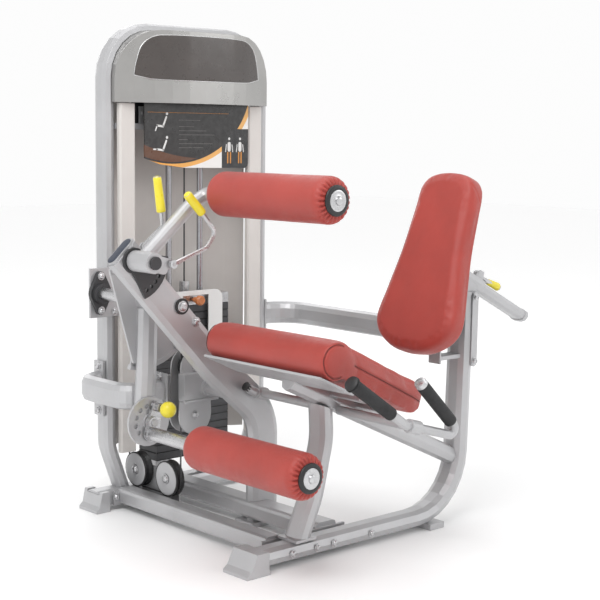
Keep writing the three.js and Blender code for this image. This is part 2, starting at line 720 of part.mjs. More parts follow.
// The beam under the seat, from the seat post down to the backrest post, with the pan that the
// cushion is bolted to.
function makeSeatBeam() {
  const start = alongSeat(66, BEAM_DEPTH);
  const end = alongSeat(800, BEAM_DEPTH);
  const beam = tubeInXZ(BEAM_SIZE, SEAT_Y, [[...start, 0], [...end, 0]]);
  const behindPost = box([POST_X - 20, SEAT_Y - 60, 0], [POST_X + 200, SEAT_Y + 60, 500]);
  const plates = [
    [-34, 100, -112, -105, 470], [94, 100, -112, -85, 200], [210, 240, -104, -85, 300],
    [320, 350, -104, -85, 260],
  ].map(([from, to, low, high, width]) => {
    const shape = [[from, low], [to, low], [to, high], [from, high]].map(([s, h]) => (
      new THREE.Vector2(...alongSeat(s, h))
    ));
    return plateInXZ(shape, CUSHION_Y - width / 2, CUSHION_Y + width / 2);
  });
  return join(cut(beam, behindPost, railSweep(GAP)), ...plates);
}

function makeMainPost() {
  const post = tubeInXZ(MAIN_POST, MAIN_POST_Y, [
    [-627, 838], [-304, 494, 420], [-121, 335, 150], [-121, 0, 0],
  ], 7);
  const plug = tubeInXZ([38, 98], MAIN_POST_Y, [[-632, 843, 0], [-620, 830, 0]]);
  const pad = box([-190, MAIN_POST_Y - 42, 0], [-60, MAIN_POST_Y + 42, 14]);
  const near = MAIN_POST_Y - MAIN_POST[0] / 2;
  const washer = pin(KNEE[0], KNEE[1], near - 5, near + 5, 20, 20);
  const bolts = [[KNEE[0], KNEE[1], 12, 12], [KNEE[0] + 52, KNEE[1] - 48, 10, 7]].map(([x, z, radius, height]) => (
    boltHead([x, near, z], [0, -1, 0], radius, height)
  ));
  const lug = plateInXZ([
    ...arc(LEVER_PIVOT[0], LEVER_PIVOT[1], 12, -0.4, 2.7, 6),
    new THREE.Vector2(-572, 820), new THREE.Vector2(-520, 770),
  ], 70, 76);
  const lugPin = pin(...LEVER_PIVOT, 49, 74, 4.5, 12);
  const sleeve = rearCrossSection(GAP);
  return cut(join(post, plug, pad, washer, ...bolts, lug, lugPin), sleeve);
}

// The curved tube that ties the tower to the backrest post, behind the seat.
function makeSideConnector() {
  const endY = SEAT_Y + SEAT_RAIL[0] / 2 + GAP;
  const tube = tubeInXY([74, 42], 560, [
    [COLUMN_RIGHT + 24, TOWER_Y], [POST_X - 14, TOWER_Y, 105], [POST_X - 14, endY],
  ], 8);
  const flange = box([COLUMN_RIGHT + 20 + GAP, TOWER_Y - 24, 510], [COLUMN_RIGHT + 28, TOWER_Y + 24, 610]);
  const bolts = [515, 605].map((z) => boltHead([COLUMN_RIGHT + 28, TOWER_Y, z], [1, 0, 0], 6, 5));
  return join(tube, flange, ...bolts);
}

// ---------------------------------------------------------------- pulley beam and bracket

const BEAM_Z = 394;
const BEAM_Y = 256;

function makePulleyBeam() {
  const tube = tubeInXY([80, 44], BEAM_Z, [
    [COLUMN_LEFT - 24, TOWER_Y], [-478, TOWER_Y, 60], [-478, BEAM_Y, 48], [-350, BEAM_Y],
  ], 6);
  const towerPlate = box([COLUMN_LEFT - 28, TOWER_Y - 24, 296], [COLUMN_LEFT - 20 - GAP, TOWER_Y + 24, 466]);
  const towerBolts = [312, 450].map((z) => boltHead([COLUMN_LEFT - 28, TOWER_Y, z], [-1, 0, 0], 9, 7));
  const endPlate = box([-354, BEAM_Y - 28, 326], [-346, BEAM_Y + 34, 453]);
  const endBolts = [337, 444].map((z) => boltHead([-354, BEAM_Y, z], [-1, 0, 0], 8, 6));
  return join(tube, towerPlate, ...towerBolts, endPlate, ...endBolts);
}

function makePulleyBracket() {
  const x = BRACKET_X;
  const [low, high] = BRACKET_PULLEYS;
  const cheeks = [[205, 210], [252, 257]].map(([from, to]) => plateInXZ([
    ...arc(x, low, 60, Math.PI, 2 * Math.PI, 10),
    ...arc(x, high, 54, 0, Math.PI, 10),
  ], from, to));
  const web = box([x - 14, 207, 384], [x + 40, 255, 406]);
  const farBlock = box([-346 + GAP, 255, 345], [x + 50, 284, 440]);
  const flange = box([-346 + GAP, 257, 330], [-340, 290, 452]);
  const nearBlock = box([x - 62, 178, 374], [x + 62, 207, 454]);
  const ledge = box([x - 62, 172, 368], [x + 62, 180, 376]);
  const axles = BRACKET_PULLEYS.map((z) => pin(x, z, 207, 255, 8, 12));
  const heads = BRACKET_PULLEYS.map((z) => boltHead([x, 205, z], [0, -1, 0], 9, 6));
  const stub = pin(-236, 408, MAIN_POST_Y + MAIN_POST[0] / 2 + GAP, 180, 22, 16);
  const collar = pin(-236, 408, 166, 180, 27, 16);
  return join(...cheeks, web, farBlock, flange, nearBlock, ledge, ...axles, ...heads, stub, collar);
}

// The short run of cable between the bracket's upper pulley and the cam's clamp block.
function makeCamCable() {
  return rod([DROP_X, CABLE_Y, BRACKET_PULLEYS[1] - 40 + GAP], [DROP_X, CABLE_Y, CLAMP_LOW - GAP], CABLE_RADIUS, 6);
}

// ---------------------------------------------------------------- leg arm

const SHAFT_RADIUS = 18;
const CLAMP_LOW = 522;

function makeKneeMount() {
  const plate = box([KNEE[0] - 30, ARCH_FRONT - 8, KNEE[1] - 75], [KNEE[0] + 72, ARCH_FRONT - GAP, KNEE[1] + 75]);
  const bolts = [-60, 60].map((z) => boltHead([COLUMN_LEFT + 4, ARCH_FRONT - 8, KNEE[1] + z], [0, -1, 0], 8, 6));
  return join(plate, ...bolts);
}

// A two-bolt flange bearing.
function makeKneeBearing() {
  const back = ARCH_FRONT - 8 - GAP;
  const rhombus = [
    ...arc(KNEE[0], KNEE[1] + 52, 14, 0.35, Math.PI - 0.35, 4),
    ...arc(KNEE[0], KNEE[1], 37, Math.PI - 0.45, Math.PI + 0.45, 4),
    ...arc(KNEE[0], KNEE[1] - 52, 14, Math.PI + 0.35, 2 * Math.PI - 0.35, 4),
    ...arc(KNEE[0], KNEE[1], 37, -0.45, 0.45, 4),
  ];
  const flange = plateInXZ(rhombus, back - 14, back);
  const hub = pin(KNEE[0], KNEE[1], back - 26, back - 5, 30, 20);
  const bolts = [-52, 52].map((z) => boltHead([KNEE[0], back - 14, KNEE[1] + z], [0, -1, 0], 8, 7));
  const bore = pin(KNEE[0], KNEE[1], back - 40, back - 1, SHAFT_RADIUS + GAP, 20);
  return cut(join(flange, hub, ...bolts), bore);
}

function makeKneeShaft() {
  return pin(KNEE[0], KNEE[1], MAIN_POST_Y + MAIN_POST[0] / 2 + GAP, ARCH_FRONT - 10, SHAFT_RADIUS, 20);
}

// The swinging arm: boss, tapered plate, flat-oval tube and the notched range disc at its foot.
function makeSwingArm() {
  const [x, z] = KNEE;
  const boss = pin(x, z, 148, 242, 32, 20);
  const tube = tubeInXZ([45, 64], ARM_Y, [[x, z - 20, 0], [-446, 470, 0], [-452, 380, 0]]);
  const plate = plateInXZ(outline(
    [x + 26, z + 40], [x - 100, z + 108], [x - 120, z + 94], [x - 114, z + 74],
    [x - 82, z - 38], [x - 40, z - 180], [x + 8, z - 180], [x + 20, z - 100],
  ), 214, 222);
  const bumper = pin(x - 104, z + 90, 196, 218, 9, 12);
  const disc = pin(...ROM_DISC, 170, 178, ROM_RADIUS, 24);
  const hub = pin(...ROM_DISC, 166, 190, 22, 16);
  const pivot = pin(...ROM_DISC, 140, 168, 10, 16);
  const notches = [];
  for (let i = 0; i < 6; i += 1) {
    const angle = HALF_PI - 0.35 + (i * Math.PI) / 6;
    const holeX = ROM_DISC[0] + 46 * Math.cos(angle);
    const holeZ = ROM_DISC[1] + 46 * Math.sin(angle);
    notches.push(pin(holeX, holeZ, 160, 177, 7.5, 8));
  }
  const bore = pin(x, z, 100, 300, SHAFT_RADIUS + GAP, 20);
  const arm = cut(join(boss, tube, plate, bumper, disc, hub), bore, ...notches);
  return join(arm, pivot);
}

// The cam: a web, a rim and the block that clamps the cable.
function makeCam() {
  const [x, z] = KNEE;
  const from = -HALF_PI - 0.22;
  const to = -0.62;
  const web = plateInXZ([
    ...arc(x, z, CAM_RADIUS - 4, from, to, 9),
    ...arc(x, z, 50, to, from, 5),
  ], 226, 232);
  const hubPlate = plateInXZ([
    ...arc(x, z, 58, from, to, 6),
    ...arc(x, z, 32 + GAP, to, from, 8),
  ], 224, 238);
  const rim = plateInXZ([
    ...arc(x, z, CAM_RADIUS + 4, from, to, 12),
    ...arc(x, z, CAM_RADIUS - 10, to, from, 12),
  ], 224, 239);
  const clamp = plateInXZ(outline(
    [-330, 540], [-318, CLAMP_LOW], [-282, CLAMP_LOW], [-276, 560], [-292, 578], [-326, 566],
  ), 218, 244);
  const bolt = boltHead([-296, 218, 552], [0, -1, 0], 8, 5);
  return join(web, hubPlate, rim, clamp, bolt);
}

// The crank turns on the disc's centre and carries the roller's bar and washer.
function makeRollerCrank() {
  const [x, z] = ROM_DISC;
  const plungerX = x + 46 * Math.cos(HALF_PI - 0.35);
  const plungerZ = z + 46 * Math.sin(HALF_PI - 0.35);
  const plate = plateInXZ([
    ...arc(LOWER_ROLLER[0], LOWER_ROLLER[1], 24, Math.PI, 2 * Math.PI, 6),
    ...arc(plungerX, plungerZ, 16, 0, Math.PI * 0.9, 5),
  ], 152, 164);
  const boss = pin(x, z, 144, 164, 18, 16);
  const guide = pin(plungerX, plungerZ, 132, 164, 13, 16);
  const bar = pin(...LOWER_ROLLER, ROLLER_NEAR - 5, 158, 20, 16);
  const washer = pin(...LOWER_ROLLER, ROLLER_NEAR - 5, ROLLER_NEAR - GAP, 27, 20);
  const bolt = boltHead([LOWER_ROLLER[0], ROLLER_NEAR - 5, LOWER_ROLLER[1]], [0, -1, 0], 8, 6);
  const bore = pin(x, z, 100, 200, 10 + GAP, 16);
  const hole = pin(plungerX, plungerZ, 100, 200, 6 + GAP, 12);
  return join(cut(join(plate, boss, guide), bore, hole), bar, washer, bolt);
}

function makePlunger() {
  const x = ROM_DISC[0] + 46 * Math.cos(HALF_PI - 0.35);
  const z = ROM_DISC[1] + 46 * Math.sin(HALF_PI - 0.35);
  const shank = pin(x, z, 110, 170 - GAP, 5.8, 12);
  const knob = new THREE.SphereGeometry(21, 12, 8).translate(x, 100, z);
  return join(shank, knob);
}

// A foam roller on a bar: wider bore at its far end, where the bar may bend away.
function makeRoller([x, z]) {
  const far = ROLLER_FAR;
  const near = ROLLER_NEAR;
  const profile = [
    [20.6, near], [44, near], [56, near + 6], [ROLLER_RADIUS, near + 20],
    [ROLLER_RADIUS, far - 20], [56, far - 6], [44, far], [30, far], [28, far - 24], [20.6, far - 24],
    [20.6, near],
  ];
  return turned(x, z, profile, 20);
}

// ---------------------------------------------------------------- thigh pad unit

const LEVER_PIVOT = [-545, 850];
const RELEASE_PIVOT = [-548, 812];
const POST_NEAR = MAIN_POST_Y - MAIN_POST[0] / 2;

// The fixed quadrant that the thigh arm latches to, with its axle.
function makeLatchSector() {
  const [x, z] = HUB;
  const quadrant = plateInXZ([
    ...arc(x, z, 112, -1.25, 0.05, 8),
    ...arc(x, z, 36, 0.6, 4.6, 8),
  ], POST_NEAR - 8, POST_NEAR - GAP);
  const axle = pin(x, z, -64, POST_NEAR - 4, 13, 16);
  const cap = pin(x, z, -66, -61, 18, 16);
  const notches = [];
  for (let i = 0; i < 6; i += 1) {
    const angle = -1.12 + i * 0.2;
    notches.push(pin(x + 92 * Math.cos(angle), z + 92 * Math.sin(angle), 20, 60, 6, 10));
  }
  return join(cut(quadrant, ...notches), axle, cap);
}

function makeThighArm() {
  const [x, z] = HUB;
  const y = 4;
  const hub = pin(x, z, -59, 29, 29, 20);
  const [rollX, rollZ] = UPPER_ROLLER;
  const near = ROLLER_NEAR - GAP;
  const bar = roundTube(20, [
    [x + 8, y, z + 8], [-440, y, 960, 90], [rollX, y, rollZ, 30], [rollX, near - 4, rollZ],
  ], 14, 5);
  const washer = pin(rollX, rollZ, near - 5, near, 27, 20);
  const bolt = boltHead([rollX, near - 5, rollZ], [0, -1, 0], 8, 6);
  const lug = plateInXZ([
    ...arc(x, z, 24, HALF_PI, 1.5 * Math.PI, 6),
    ...arc(...RELEASE_PIVOT, 13, -HALF_PI, HALF_PI, 5),
  ], -56, -48);
  const lugPin = pin(...RELEASE_PIVOT, -72, -50, 4.5, 12);
  const latchArm = plateInXZ([
    ...arc(x + 92 * Math.cos(-0.32), z + 92 * Math.sin(-0.32), 13, -HALF_PI - 0.3, HALF_PI - 0.3, 5),
    new THREE.Vector2(x + 10, z + 20), new THREE.Vector2(x + 2, z - 22),
  ], 18, 28);
  const bore = pin(x, z, -80, 60, 13 + GAP, 16);
  return join(cut(join(hub, lug, latchArm), bore), cut(bar, pin(x, z, -80, 60, 20, 16)), washer, bolt, lugPin);
}

// The release lever beside the thigh arm, bent round to its grip.
function makeReleaseLever() {
  const y = -66;
  const [x, z] = RELEASE_PIVOT;
  const eye = pin(x, z, y - 5, y + 5, 12, 16);
  const bore = pin(x, z, y - 9, y + 9, 4.5 + GAP, 12);
  const bar = roundTube(6.5, [
    [x + 6, y, z + 2], [-436, y, 850, 20], [-404, y, 892, 20], [-448, y, 942, 30],
    [-470, y, 966],
  ], 8, 4);
  const grip = rod([-452, y, 947], [-502, y, 998], 11, 12);
  return join(cut(join(eye, bar), bore), grip);
}

// The pull lever on the far side: a flat arm and an upright grip.
function makePullLever() {
  const [x, z] = LEVER_PIVOT;
  const plate = plateInXZ([
    ...arc(x, z, 13, Math.PI * 0.75, Math.PI * 1.75, 6),
    ...arc(-490, 898, 10, -Math.PI * 0.25, Math.PI * 0.75, 5),
  ], 56, 64);
  const bore = pin(x, z, 40, 69, 4.5 + GAP, 12);
  const bar = rod([-488, 60, 896], [-496, 60, 960], 6, 12);
  const grip = rod([-495, 60, 948], [-508, 60, 1042], 11, 12, 10);
  return join(cut(plate, bore), bar, grip);
}

// ---------------------------------------------------------------- seat, handles and backrest

function makeSeat() {
  const length = 392;
  const depth = 84;
  const rollAt = alongSeat(0, -SEAT_ROLL);
  const rollAngle = (degrees) => (degrees * Math.PI) / 180 - SEAT_SLOPE;
  const slabPoints = [
    ...arc(...rollAt, SEAT_ROLL, rollAngle(90), rollAngle(322), 12),
    new THREE.Vector2(...alongSeat(length - 22, -depth)),
    new THREE.Vector2(...alongSeat(length, -66)),
    new THREE.Vector2(...alongSeat(length, -24)),
    new THREE.Vector2(...alongSeat(length - 18, 0)),
  ];
  const slab = plateInXZ(slabPoints, CUSHION_Y - 250, CUSHION_Y + 250);
  const plan = [];
  const half = [[-470, 247], [-322, 247], [-292, 238], [60, 206]];
  half.forEach(([x, y]) => plan.push(new THREE.Vector2(x, CUSHION_Y - y)));
  half.reverse().forEach(([x, y]) => plan.push(new THREE.Vector2(x, CUSHION_Y + y)));
  return common(slab, plateInXY(plan, 300, 700));
}

const HANDLE_SPREAD = 306;
const HANDLE_LINE = [[-392, 545], [-196, 414], [36, 348], [-142, 519]]; // X, Z

function makeHandle(side) {
  const y = SEAT_Y + side * HANDLE_SPREAD;
  const [front, knee, bend, tip] = HANDLE_LINE;
  // the main post takes the place of the far handle's lower grip
  const start = side < 0 ? front : onLine(front, knee, 0.88);
  const bar = roundTube(13, [
    [start[0], y, start[1]], [knee[0], y, knee[1], 90], [bend[0], y, bend[1], 16], [tip[0], y, tip[1]],
  ], 10, 6);
  const clamp = rod([knee[0] + 12, y, knee[1] - 3], [knee[0] + 50, y, knee[1] - 14], 19, 14);
  const beamSide = SEAT_Y + side * (BEAM_SIZE[0] / 2 + GAP);
  const outrigger = pin(knee[0] + 31, knee[1] - 8, Math.min(beamSide, y), Math.max(beamSide, y), 13, 14);
  return join(bar, clamp, outrigger);
}

function makeGrip(side, from, to) {
  const y = SEAT_Y + side * HANDLE_SPREAD;
  return cut(
    rod([from[0], y, from[1]], [to[0], y, to[1]], 17, 16),
    rod([from[0] * 1.2 - to[0] * 0.2, y, from[1] * 1.2 - to[1] * 0.2],
      [to[0] * 1.2 - from[0] * 0.2, y, to[1] * 1.2 - from[1] * 0.2], 13 + GAP, 16),
  );
}

function onLine(a, b, t) {
  return [a[0] + (b[0] - a[0]) * t, a[1] + (b[1] - a[1]) * t];
}

// Points along the backrest slide: s runs down to the rear from above the post, h is square to it.
function alongSlide(s, h) {
  const x = SLIDE_POINT[0] + s * Math.cos(SLIDE_SLOPE) + h * Math.sin(SLIDE_SLOPE);
  const z = SLIDE_POINT[1] - s * Math.sin(SLIDE_SLOPE) + h * Math.cos(SLIDE_SLOPE);
  return [x, z];
}

function slideTube(across, along, from, to) {
  return tubeInXZ([across, along], SEAT_Y, [[...alongSlide(from, 0), 0], [...alongSlide(to, 0), 0]]);
}

// The sleeve on the post's head, with the saddle under it and the lug for the lock lever.
function makeSleeve() {
  const outer = slideTube(74, 50, -50, 72);
  const inner = slideTube(60 + 2 * GAP, 35 + 2 * GAP, -90, 120);
  const saddle = box([POST_X - 20, SEAT_Y - 34, POST_TOP + GAP], [POST_X + 26, SEAT_Y + 34, SLIDE_POINT[1] - 4]);
  const lug = plateInXZ([[38, 20], [72, 20], [66, 46], [50, 46]].map(([s, h]) => (
    new THREE.Vector2(...alongSlide(s, h))
  )), SEAT_Y - 18, SEAT_Y - 11);
  const lugPin = pin(...alongSlide(58, 37), SEAT_Y - 14, SEAT_Y + 10, 4, 12);
  const postHead = box([POST_X - 60, SEAT_Y - 50, 600], [POST_X + 26, SEAT_Y + 50, POST_TOP + GAP]);
  return join(cut(join(outer, saddle), inner, postHead), lug, lugPin);
}

function makeSlideTube() {
  const tube = slideTube(60, 35, -92, 300);
  const cap = slideTube(64, 39, 298, 312);
  return join(tube, cap);
}

// Points on the backrest: u runs up its lean from the lower end of the front face, h is behind it.
const BACK_FOOT = [118, 548];
function alongBack(u, h) {
  const x = BACK_FOOT[0] + u * Math.sin(BACK_LEAN) + h * Math.cos(BACK_LEAN);
  const z = BACK_FOOT[1] + u * Math.cos(BACK_LEAN) - h * Math.sin(BACK_LEAN);
  return [x, z];
}

function makeBackMount() {
  const shape = [[110, 66], [400, 66], [400, 72], [110, 72]].map(([u, h]) => (
    new THREE.Vector2(...alongBack(u, h))
  ));
  const plate = plateInXZ(shape, SEAT_Y - 60, SEAT_Y + 60);
  const rib = plateInXZ([
    new THREE.Vector2(...alongBack(150, 70)), new THREE.Vector2(...alongBack(380, 70)),
    new THREE.Vector2(...alongSlide(-60, 26)), new THREE.Vector2(...alongSlide(-60, -26)),
  ], SEAT_Y - 35, SEAT_Y + 35);
  const inner = slideTube(60 + 2 * GAP, 35 + 2 * GAP, -92 - GAP, 0);
  return cut(join(plate, rib), inner);
}

function makeBackPad() {
  const shape = new THREE.Shape([
    ...arc(0, 88, 78, Math.PI * 1.12, Math.PI * 1.88, 8),
    new THREE.Vector2(142, 130), new THREE.Vector2(106, 440),
    ...arc(56, 474, 46, 0, HALF_PI, 4),
    ...arc(-56, 474, 46, HALF_PI, Math.PI, 4),
    new THREE.Vector2(-106, 440), new THREE.Vector2(-142, 130),
  ]);
  const pad = new THREE.ExtrudeGeometry(shape, {
    depth: 45, bevelEnabled: true, bevelThickness: 10, bevelSize: 10, bevelSegments: 1,
  });
  // The outline is drawn in Y and along the lean; the thickness runs back from the front face.
  const basis = new THREE.Matrix4().makeBasis(
    point(0, 1, 0),
    point(Math.sin(BACK_LEAN), 0, Math.cos(BACK_LEAN)),
    point(Math.cos(BACK_LEAN), 0, -Math.sin(BACK_LEAN)),
  );
  basis.setPosition(point(alongBack(0, 10)[0], SEAT_Y, alongBack(0, 10)[1]));
  return pad.applyMatrix4(basis);
}

function makeLockLever() {
  const [x, z] = alongSlide(58, 37);
  const eye = pin(x, z, SEAT_Y - 8, SEAT_Y + 8, 10, 14);
  const bore = pin(x, z, SEAT_Y - 12, SEAT_Y + 12, 4 + GAP, 12);
  const bar = plateInXZ([[60, 33], [100, 28], [100, 34], [60, 42]].map(([s, h]) => (
    new THREE.Vector2(...alongSlide(s, h))
  )), SEAT_Y - 8, SEAT_Y + 8);
  const from = alongSlide(96, 32);
  const to = alongSlide(172, 38);
  const grip = rod([from[0], SEAT_Y, from[1]], [to[0], SEAT_Y, to[1]], 8, 12, 9);
  return join(cut(join(eye, bar), bore), grip);
}

// ---------------------------------------------------------------- assembly

addPart("tower_arch", makeArch(), "paint");
addPart("tower_base_rail", makeTowerRail(), "paint");
addPart("tower_foot_front", makeTowerFoot(-1), "paint");
addPart("tower_foot_rear", makeTowerFoot(1), "paint");
addPart("cover_strip_left", makeCoverStrip(COLUMN_LEFT + 21, COLUMN_LEFT + 78), "cover");
addPart("cover_strip_right", makeCoverStrip(COLUMN_RIGHT - 78, COLUMN_RIGHT - 21), "cover");
addPart("rear_cover", makeRearCover(), "cover");
addPart("header_panel", makeHeader(), "satin");
addPart("header_badge", makeBadge(), "badge");
addPart("placard", makePlacard(), "badge");
addPart("head_plate", makeHeadPlate(), "paint");
for (const [i, side] of ["left", "right"].entries()) {
  const guide = rod(
    [RODS[i], TOWER_Y, RAIL_TOP + GAP], [RODS[i], TOWER_Y, HEAD_PLATE_Z - GAP], ROD_RADIUS, 16,
  );
  addPart(`guide_rod_${side}`, guide, "iron");
}
addPart("resting_plates", makeRestingPlates(), "iron");
addPart("top_plate", makeTopPlate(), "steel");
addPart("weight_guard", makeWeightGuard(), "white");
addPart("selector_pin", makeSelectorPin(), "orange");

for (const [name, x] of Object.entries(TOP_PULLEYS)) {
  const wheel = makePulleyY(x, TOWER_Y, TOP_PULLEY_Z, TOP_PULLEY_RADIUS, 24, 8 + GAP);
  addPart(`top_pulley_${name}`, wheel, "black");
}
for (const [i, name] of ["far", "near"].entries()) {
  const [y, z] = BASE_PULLEYS[i];
  addPart(`base_pulley_${name}`, makePulleyX(DROP_X, y, z, BASE_PULLEY_RADIUS, 28, 8 + GAP), "black");
}
for (const [i, name] of ["lower", "upper"].entries()) {
  const z = BRACKET_PULLEYS[i];
  addPart(
    `bracket_pulley_${name}`,
    makePulleyY(BRACKET_X, CABLE_Y, z, BRACKET_PULLEY_RADIUS, 28, 8 + GAP),
    "black",
  );
}
addPart("lift_cable", makeLiftCable(), "cable");
addPart("cam_cable", makeCamCable(), "cable");
addPart("pulley_beam", makePulleyBeam(), "paint");
addPart("pulley_bracket", makePulleyBracket(), "paint");

addPart("cross_tube_front", makeFrontCrossTube(), "paint");
addPart("cross_tube_rear", makeRearCrossTube(), "paint");
addPart("seat_rail", makeSeatRail(), "paint");
addPart("seat_foot_front", makeFrontFoot(), "paint");
addPart("front_seat_post", makeFrontSeatPost(), "paint");
addPart("seat_beam", makeSeatBeam(), "paint");
addPart("main_post", makeMainPost(), "paint");
addPart("side_connector", makeSideConnector(), "paint");

addPart("knee_mount", makeKneeMount(), "paint");
addPart("knee_bearing", makeKneeBearing(), "iron");
addPart("knee_shaft", makeKneeShaft(), "steel");
addPart("swing_arm", makeSwingArm(), "paint");
addPart("cam", makeCam(), "paint");
addPart("roller_crank", makeRollerCrank(), "steel");
addPart("range_plunger", makePlunger(), "yellow");
addPart("lower_roller", makeRoller(LOWER_ROLLER), "vinyl");

addPart("latch_sector", makeLatchSector(), "iron");
addPart("thigh_arm", makeThighArm(), "paint");
addPart("release_lever", makeReleaseLever(), "steel");
addPart("pull_lever", makePullLever(), "steel");
addPart("upper_roller", makeRoller(UPPER_ROLLER), "vinyl");

addPart("seat_cushion", makeSeat(), "vinyl");
for (const [side, name] of [[-1, "near"], [1, "far"]]) {
  addPart(`handle_${name}`, makeHandle(side), "paint");
  const [front, knee, bend, tip] = HANDLE_LINE;
  if (side < 0) {
    addPart(`grip_low_${name}`, makeGrip(side, front, onLine(front, knee, 0.74)), "foam");
  }
  addPart(`grip_high_${name}`, makeGrip(side, onLine(bend, tip, 0.3), onLine(bend, tip, 0.96)), "foam");
}
addPart("slide_sleeve", makeSleeve(), "paint");
addPart("slide_tube", makeSlideTube(), "paint");
addPart("back_mount", makeBackMount(), "iron");
addPart("back_pad", makeBackPad(), "vinyl");
addPart("lock_lever", makeLockLever(), "steel");

export default machine;
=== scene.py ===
"""Looks of the leg extension and leg curl machine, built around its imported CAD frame."""

import json
import math

import bmesh
import bpy
from mathutils import Matrix, Vector, noise
from mathutils.bvhtree import BVHTree
from mathutils.kdtree import KDTree as Tree


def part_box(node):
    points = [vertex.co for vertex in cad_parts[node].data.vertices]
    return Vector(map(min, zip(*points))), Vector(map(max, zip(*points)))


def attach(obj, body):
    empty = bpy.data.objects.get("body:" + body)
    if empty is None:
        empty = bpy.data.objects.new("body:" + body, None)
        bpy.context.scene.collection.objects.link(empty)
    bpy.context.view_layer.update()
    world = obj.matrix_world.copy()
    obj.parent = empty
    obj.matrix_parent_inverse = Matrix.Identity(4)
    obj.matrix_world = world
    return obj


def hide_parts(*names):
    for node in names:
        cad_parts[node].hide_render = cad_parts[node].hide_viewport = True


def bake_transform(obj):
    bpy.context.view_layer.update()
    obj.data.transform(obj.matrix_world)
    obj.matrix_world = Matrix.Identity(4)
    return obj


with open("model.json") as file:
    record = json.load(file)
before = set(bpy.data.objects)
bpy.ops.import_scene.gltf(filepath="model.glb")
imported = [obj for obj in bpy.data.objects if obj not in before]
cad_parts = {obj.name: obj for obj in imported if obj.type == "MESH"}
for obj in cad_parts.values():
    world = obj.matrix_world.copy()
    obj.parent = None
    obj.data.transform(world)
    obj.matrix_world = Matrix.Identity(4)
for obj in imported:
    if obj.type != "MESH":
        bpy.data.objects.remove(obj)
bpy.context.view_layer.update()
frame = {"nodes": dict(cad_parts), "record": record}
scene = bpy.context.scene


# Materials: every one is a node graph in object space, which is the machine's own frame in metres.

class Graph:
    """A material with a Principled shader, and short ways to add nodes to it."""

    def __init__(self, name, roughness=0.5, metallic=0.0, **sockets):
        self.material = bpy.data.materials.new(name)
        self.material.use_nodes = True
        self.tree = self.material.node_tree
        self.tree.nodes.clear()
        self.shader = self.add("ShaderNodeBsdfPrincipled")
        output = self.add("ShaderNodeOutputMaterial")
        self.link(self.shader.outputs[0], output.inputs[0])
        self.shader.inputs["Roughness"].default_value = roughness
        self.shader.inputs["Metallic"].default_value = metallic
        for socket, value in sockets.items():
            self.shader.inputs[socket.replace("_", " ")].default_value = value
        self.place = self.add("ShaderNodeTexCoord").outputs["Object"]

    def add(self, kind, **values):
        node = self.tree.nodes.new(kind)
        for key, value in values.items():
            setattr(node, key, value)
        return node

    def link(self, start, end):
        self.tree.links.new(start, end)

    def math(self, operation, first, second=None):
        node = self.add("ShaderNodeMath", operation=operation)
        for socket, value in zip(node.inputs, (first, second)):
            if value is None:
                continue
            if isinstance(value, (int, float)):
                socket.default_value = value
            else:
                self.link(value, socket)
        return node.outputs[0]

    def stretched(self, scale):
        node = self.add("ShaderNodeMapping")
        node.inputs["Scale"].default_value = scale
        self.link(self.place, node.inputs["Vector"])
        return node.outputs[0]

    def noise(self, scale, detail=3.0, rough=0.55, place=None):
        node = self.add("ShaderNodeTexNoise")
        node.inputs["Scale"].default_value = scale
        node.inputs["Detail"].default_value = detail
        node.inputs["Roughness"].default_value = rough
        self.link(place or self.place, node.inputs["Vector"])
        return node.outputs["Fac"]

    def cells(self, scale, feature="F1"):
        node = self.add("ShaderNodeTexVoronoi", feature=feature)
        node.inputs["Scale"].default_value = scale
        self.link(self.place, node.inputs["Vector"])
        return node.outputs["Distance"]

    def ramp(self, value, low, high, to_low=0.0, to_high=1.0):
        node = self.add("ShaderNodeMapRange")
        for key, number in zip(
            ("From Min", "From Max", "To Min", "To Max"), (low, high, to_low, to_high)
        ):
            node.inputs[key].default_value = number
        self.link(value, node.inputs["Value"])
        return node.outputs[0]

    def mix(self, share, first, second):
        node = self.add("ShaderNodeMix", data_type="RGBA")
        for socket, value in zip((node.inputs[0], node.inputs[6], node.inputs[7]), (share, first, second)):
            if isinstance(value, (int, float)):
                socket.default_value = value
            elif isinstance(value, tuple):
                socket.default_value = (*value, 1.0)
            else:
                self.link(value, socket)
        return node.outputs[2]

    def edges(self, radius, low=0.02, high=0.25):
        """1 on convex edges that a hand or a shoe wears, 0 on flat faces."""
        bevel = self.add("ShaderNodeBevel", samples=4)
        bevel.inputs["Radius"].default_value = radius
        flat = self.add("ShaderNodeNewGeometry").outputs["Normal"]
        node = self.add("ShaderNodeVectorMath", operation="DOT_PRODUCT")
        self.link(bevel.outputs[0], node.inputs[0])
        self.link(flat, node.inputs[1])
        return self.ramp(self.math("SUBTRACT", 1.0, node.outputs["Value"]), low, high)

    def bump(self, height, depth, strength=1.0, round_edges=0.0):
        node = self.add("ShaderNodeBump")
        node.inputs["Distance"].default_value = depth
        node.inputs["Strength"].default_value = strength
        self.link(height, node.inputs["Height"])
        if round_edges:
            bevel = self.add("ShaderNodeBevel", samples=4)
            bevel.inputs["Radius"].default_value = round_edges
            self.link(bevel.outputs[0], node.inputs["Normal"])
        self.link(node.outputs[0], self.shader.inputs["Normal"])

    def colour(self, value):
        self.link(value, self.shader.inputs["Base Color"])

    def rough(self, value):
        self.link(value, self.shader.inputs["Roughness"])


def shade(colour, factor):
    """A colour made lighter or darker, and no brighter than white."""
    return tuple(min(1.0, c * factor) for c in colour)


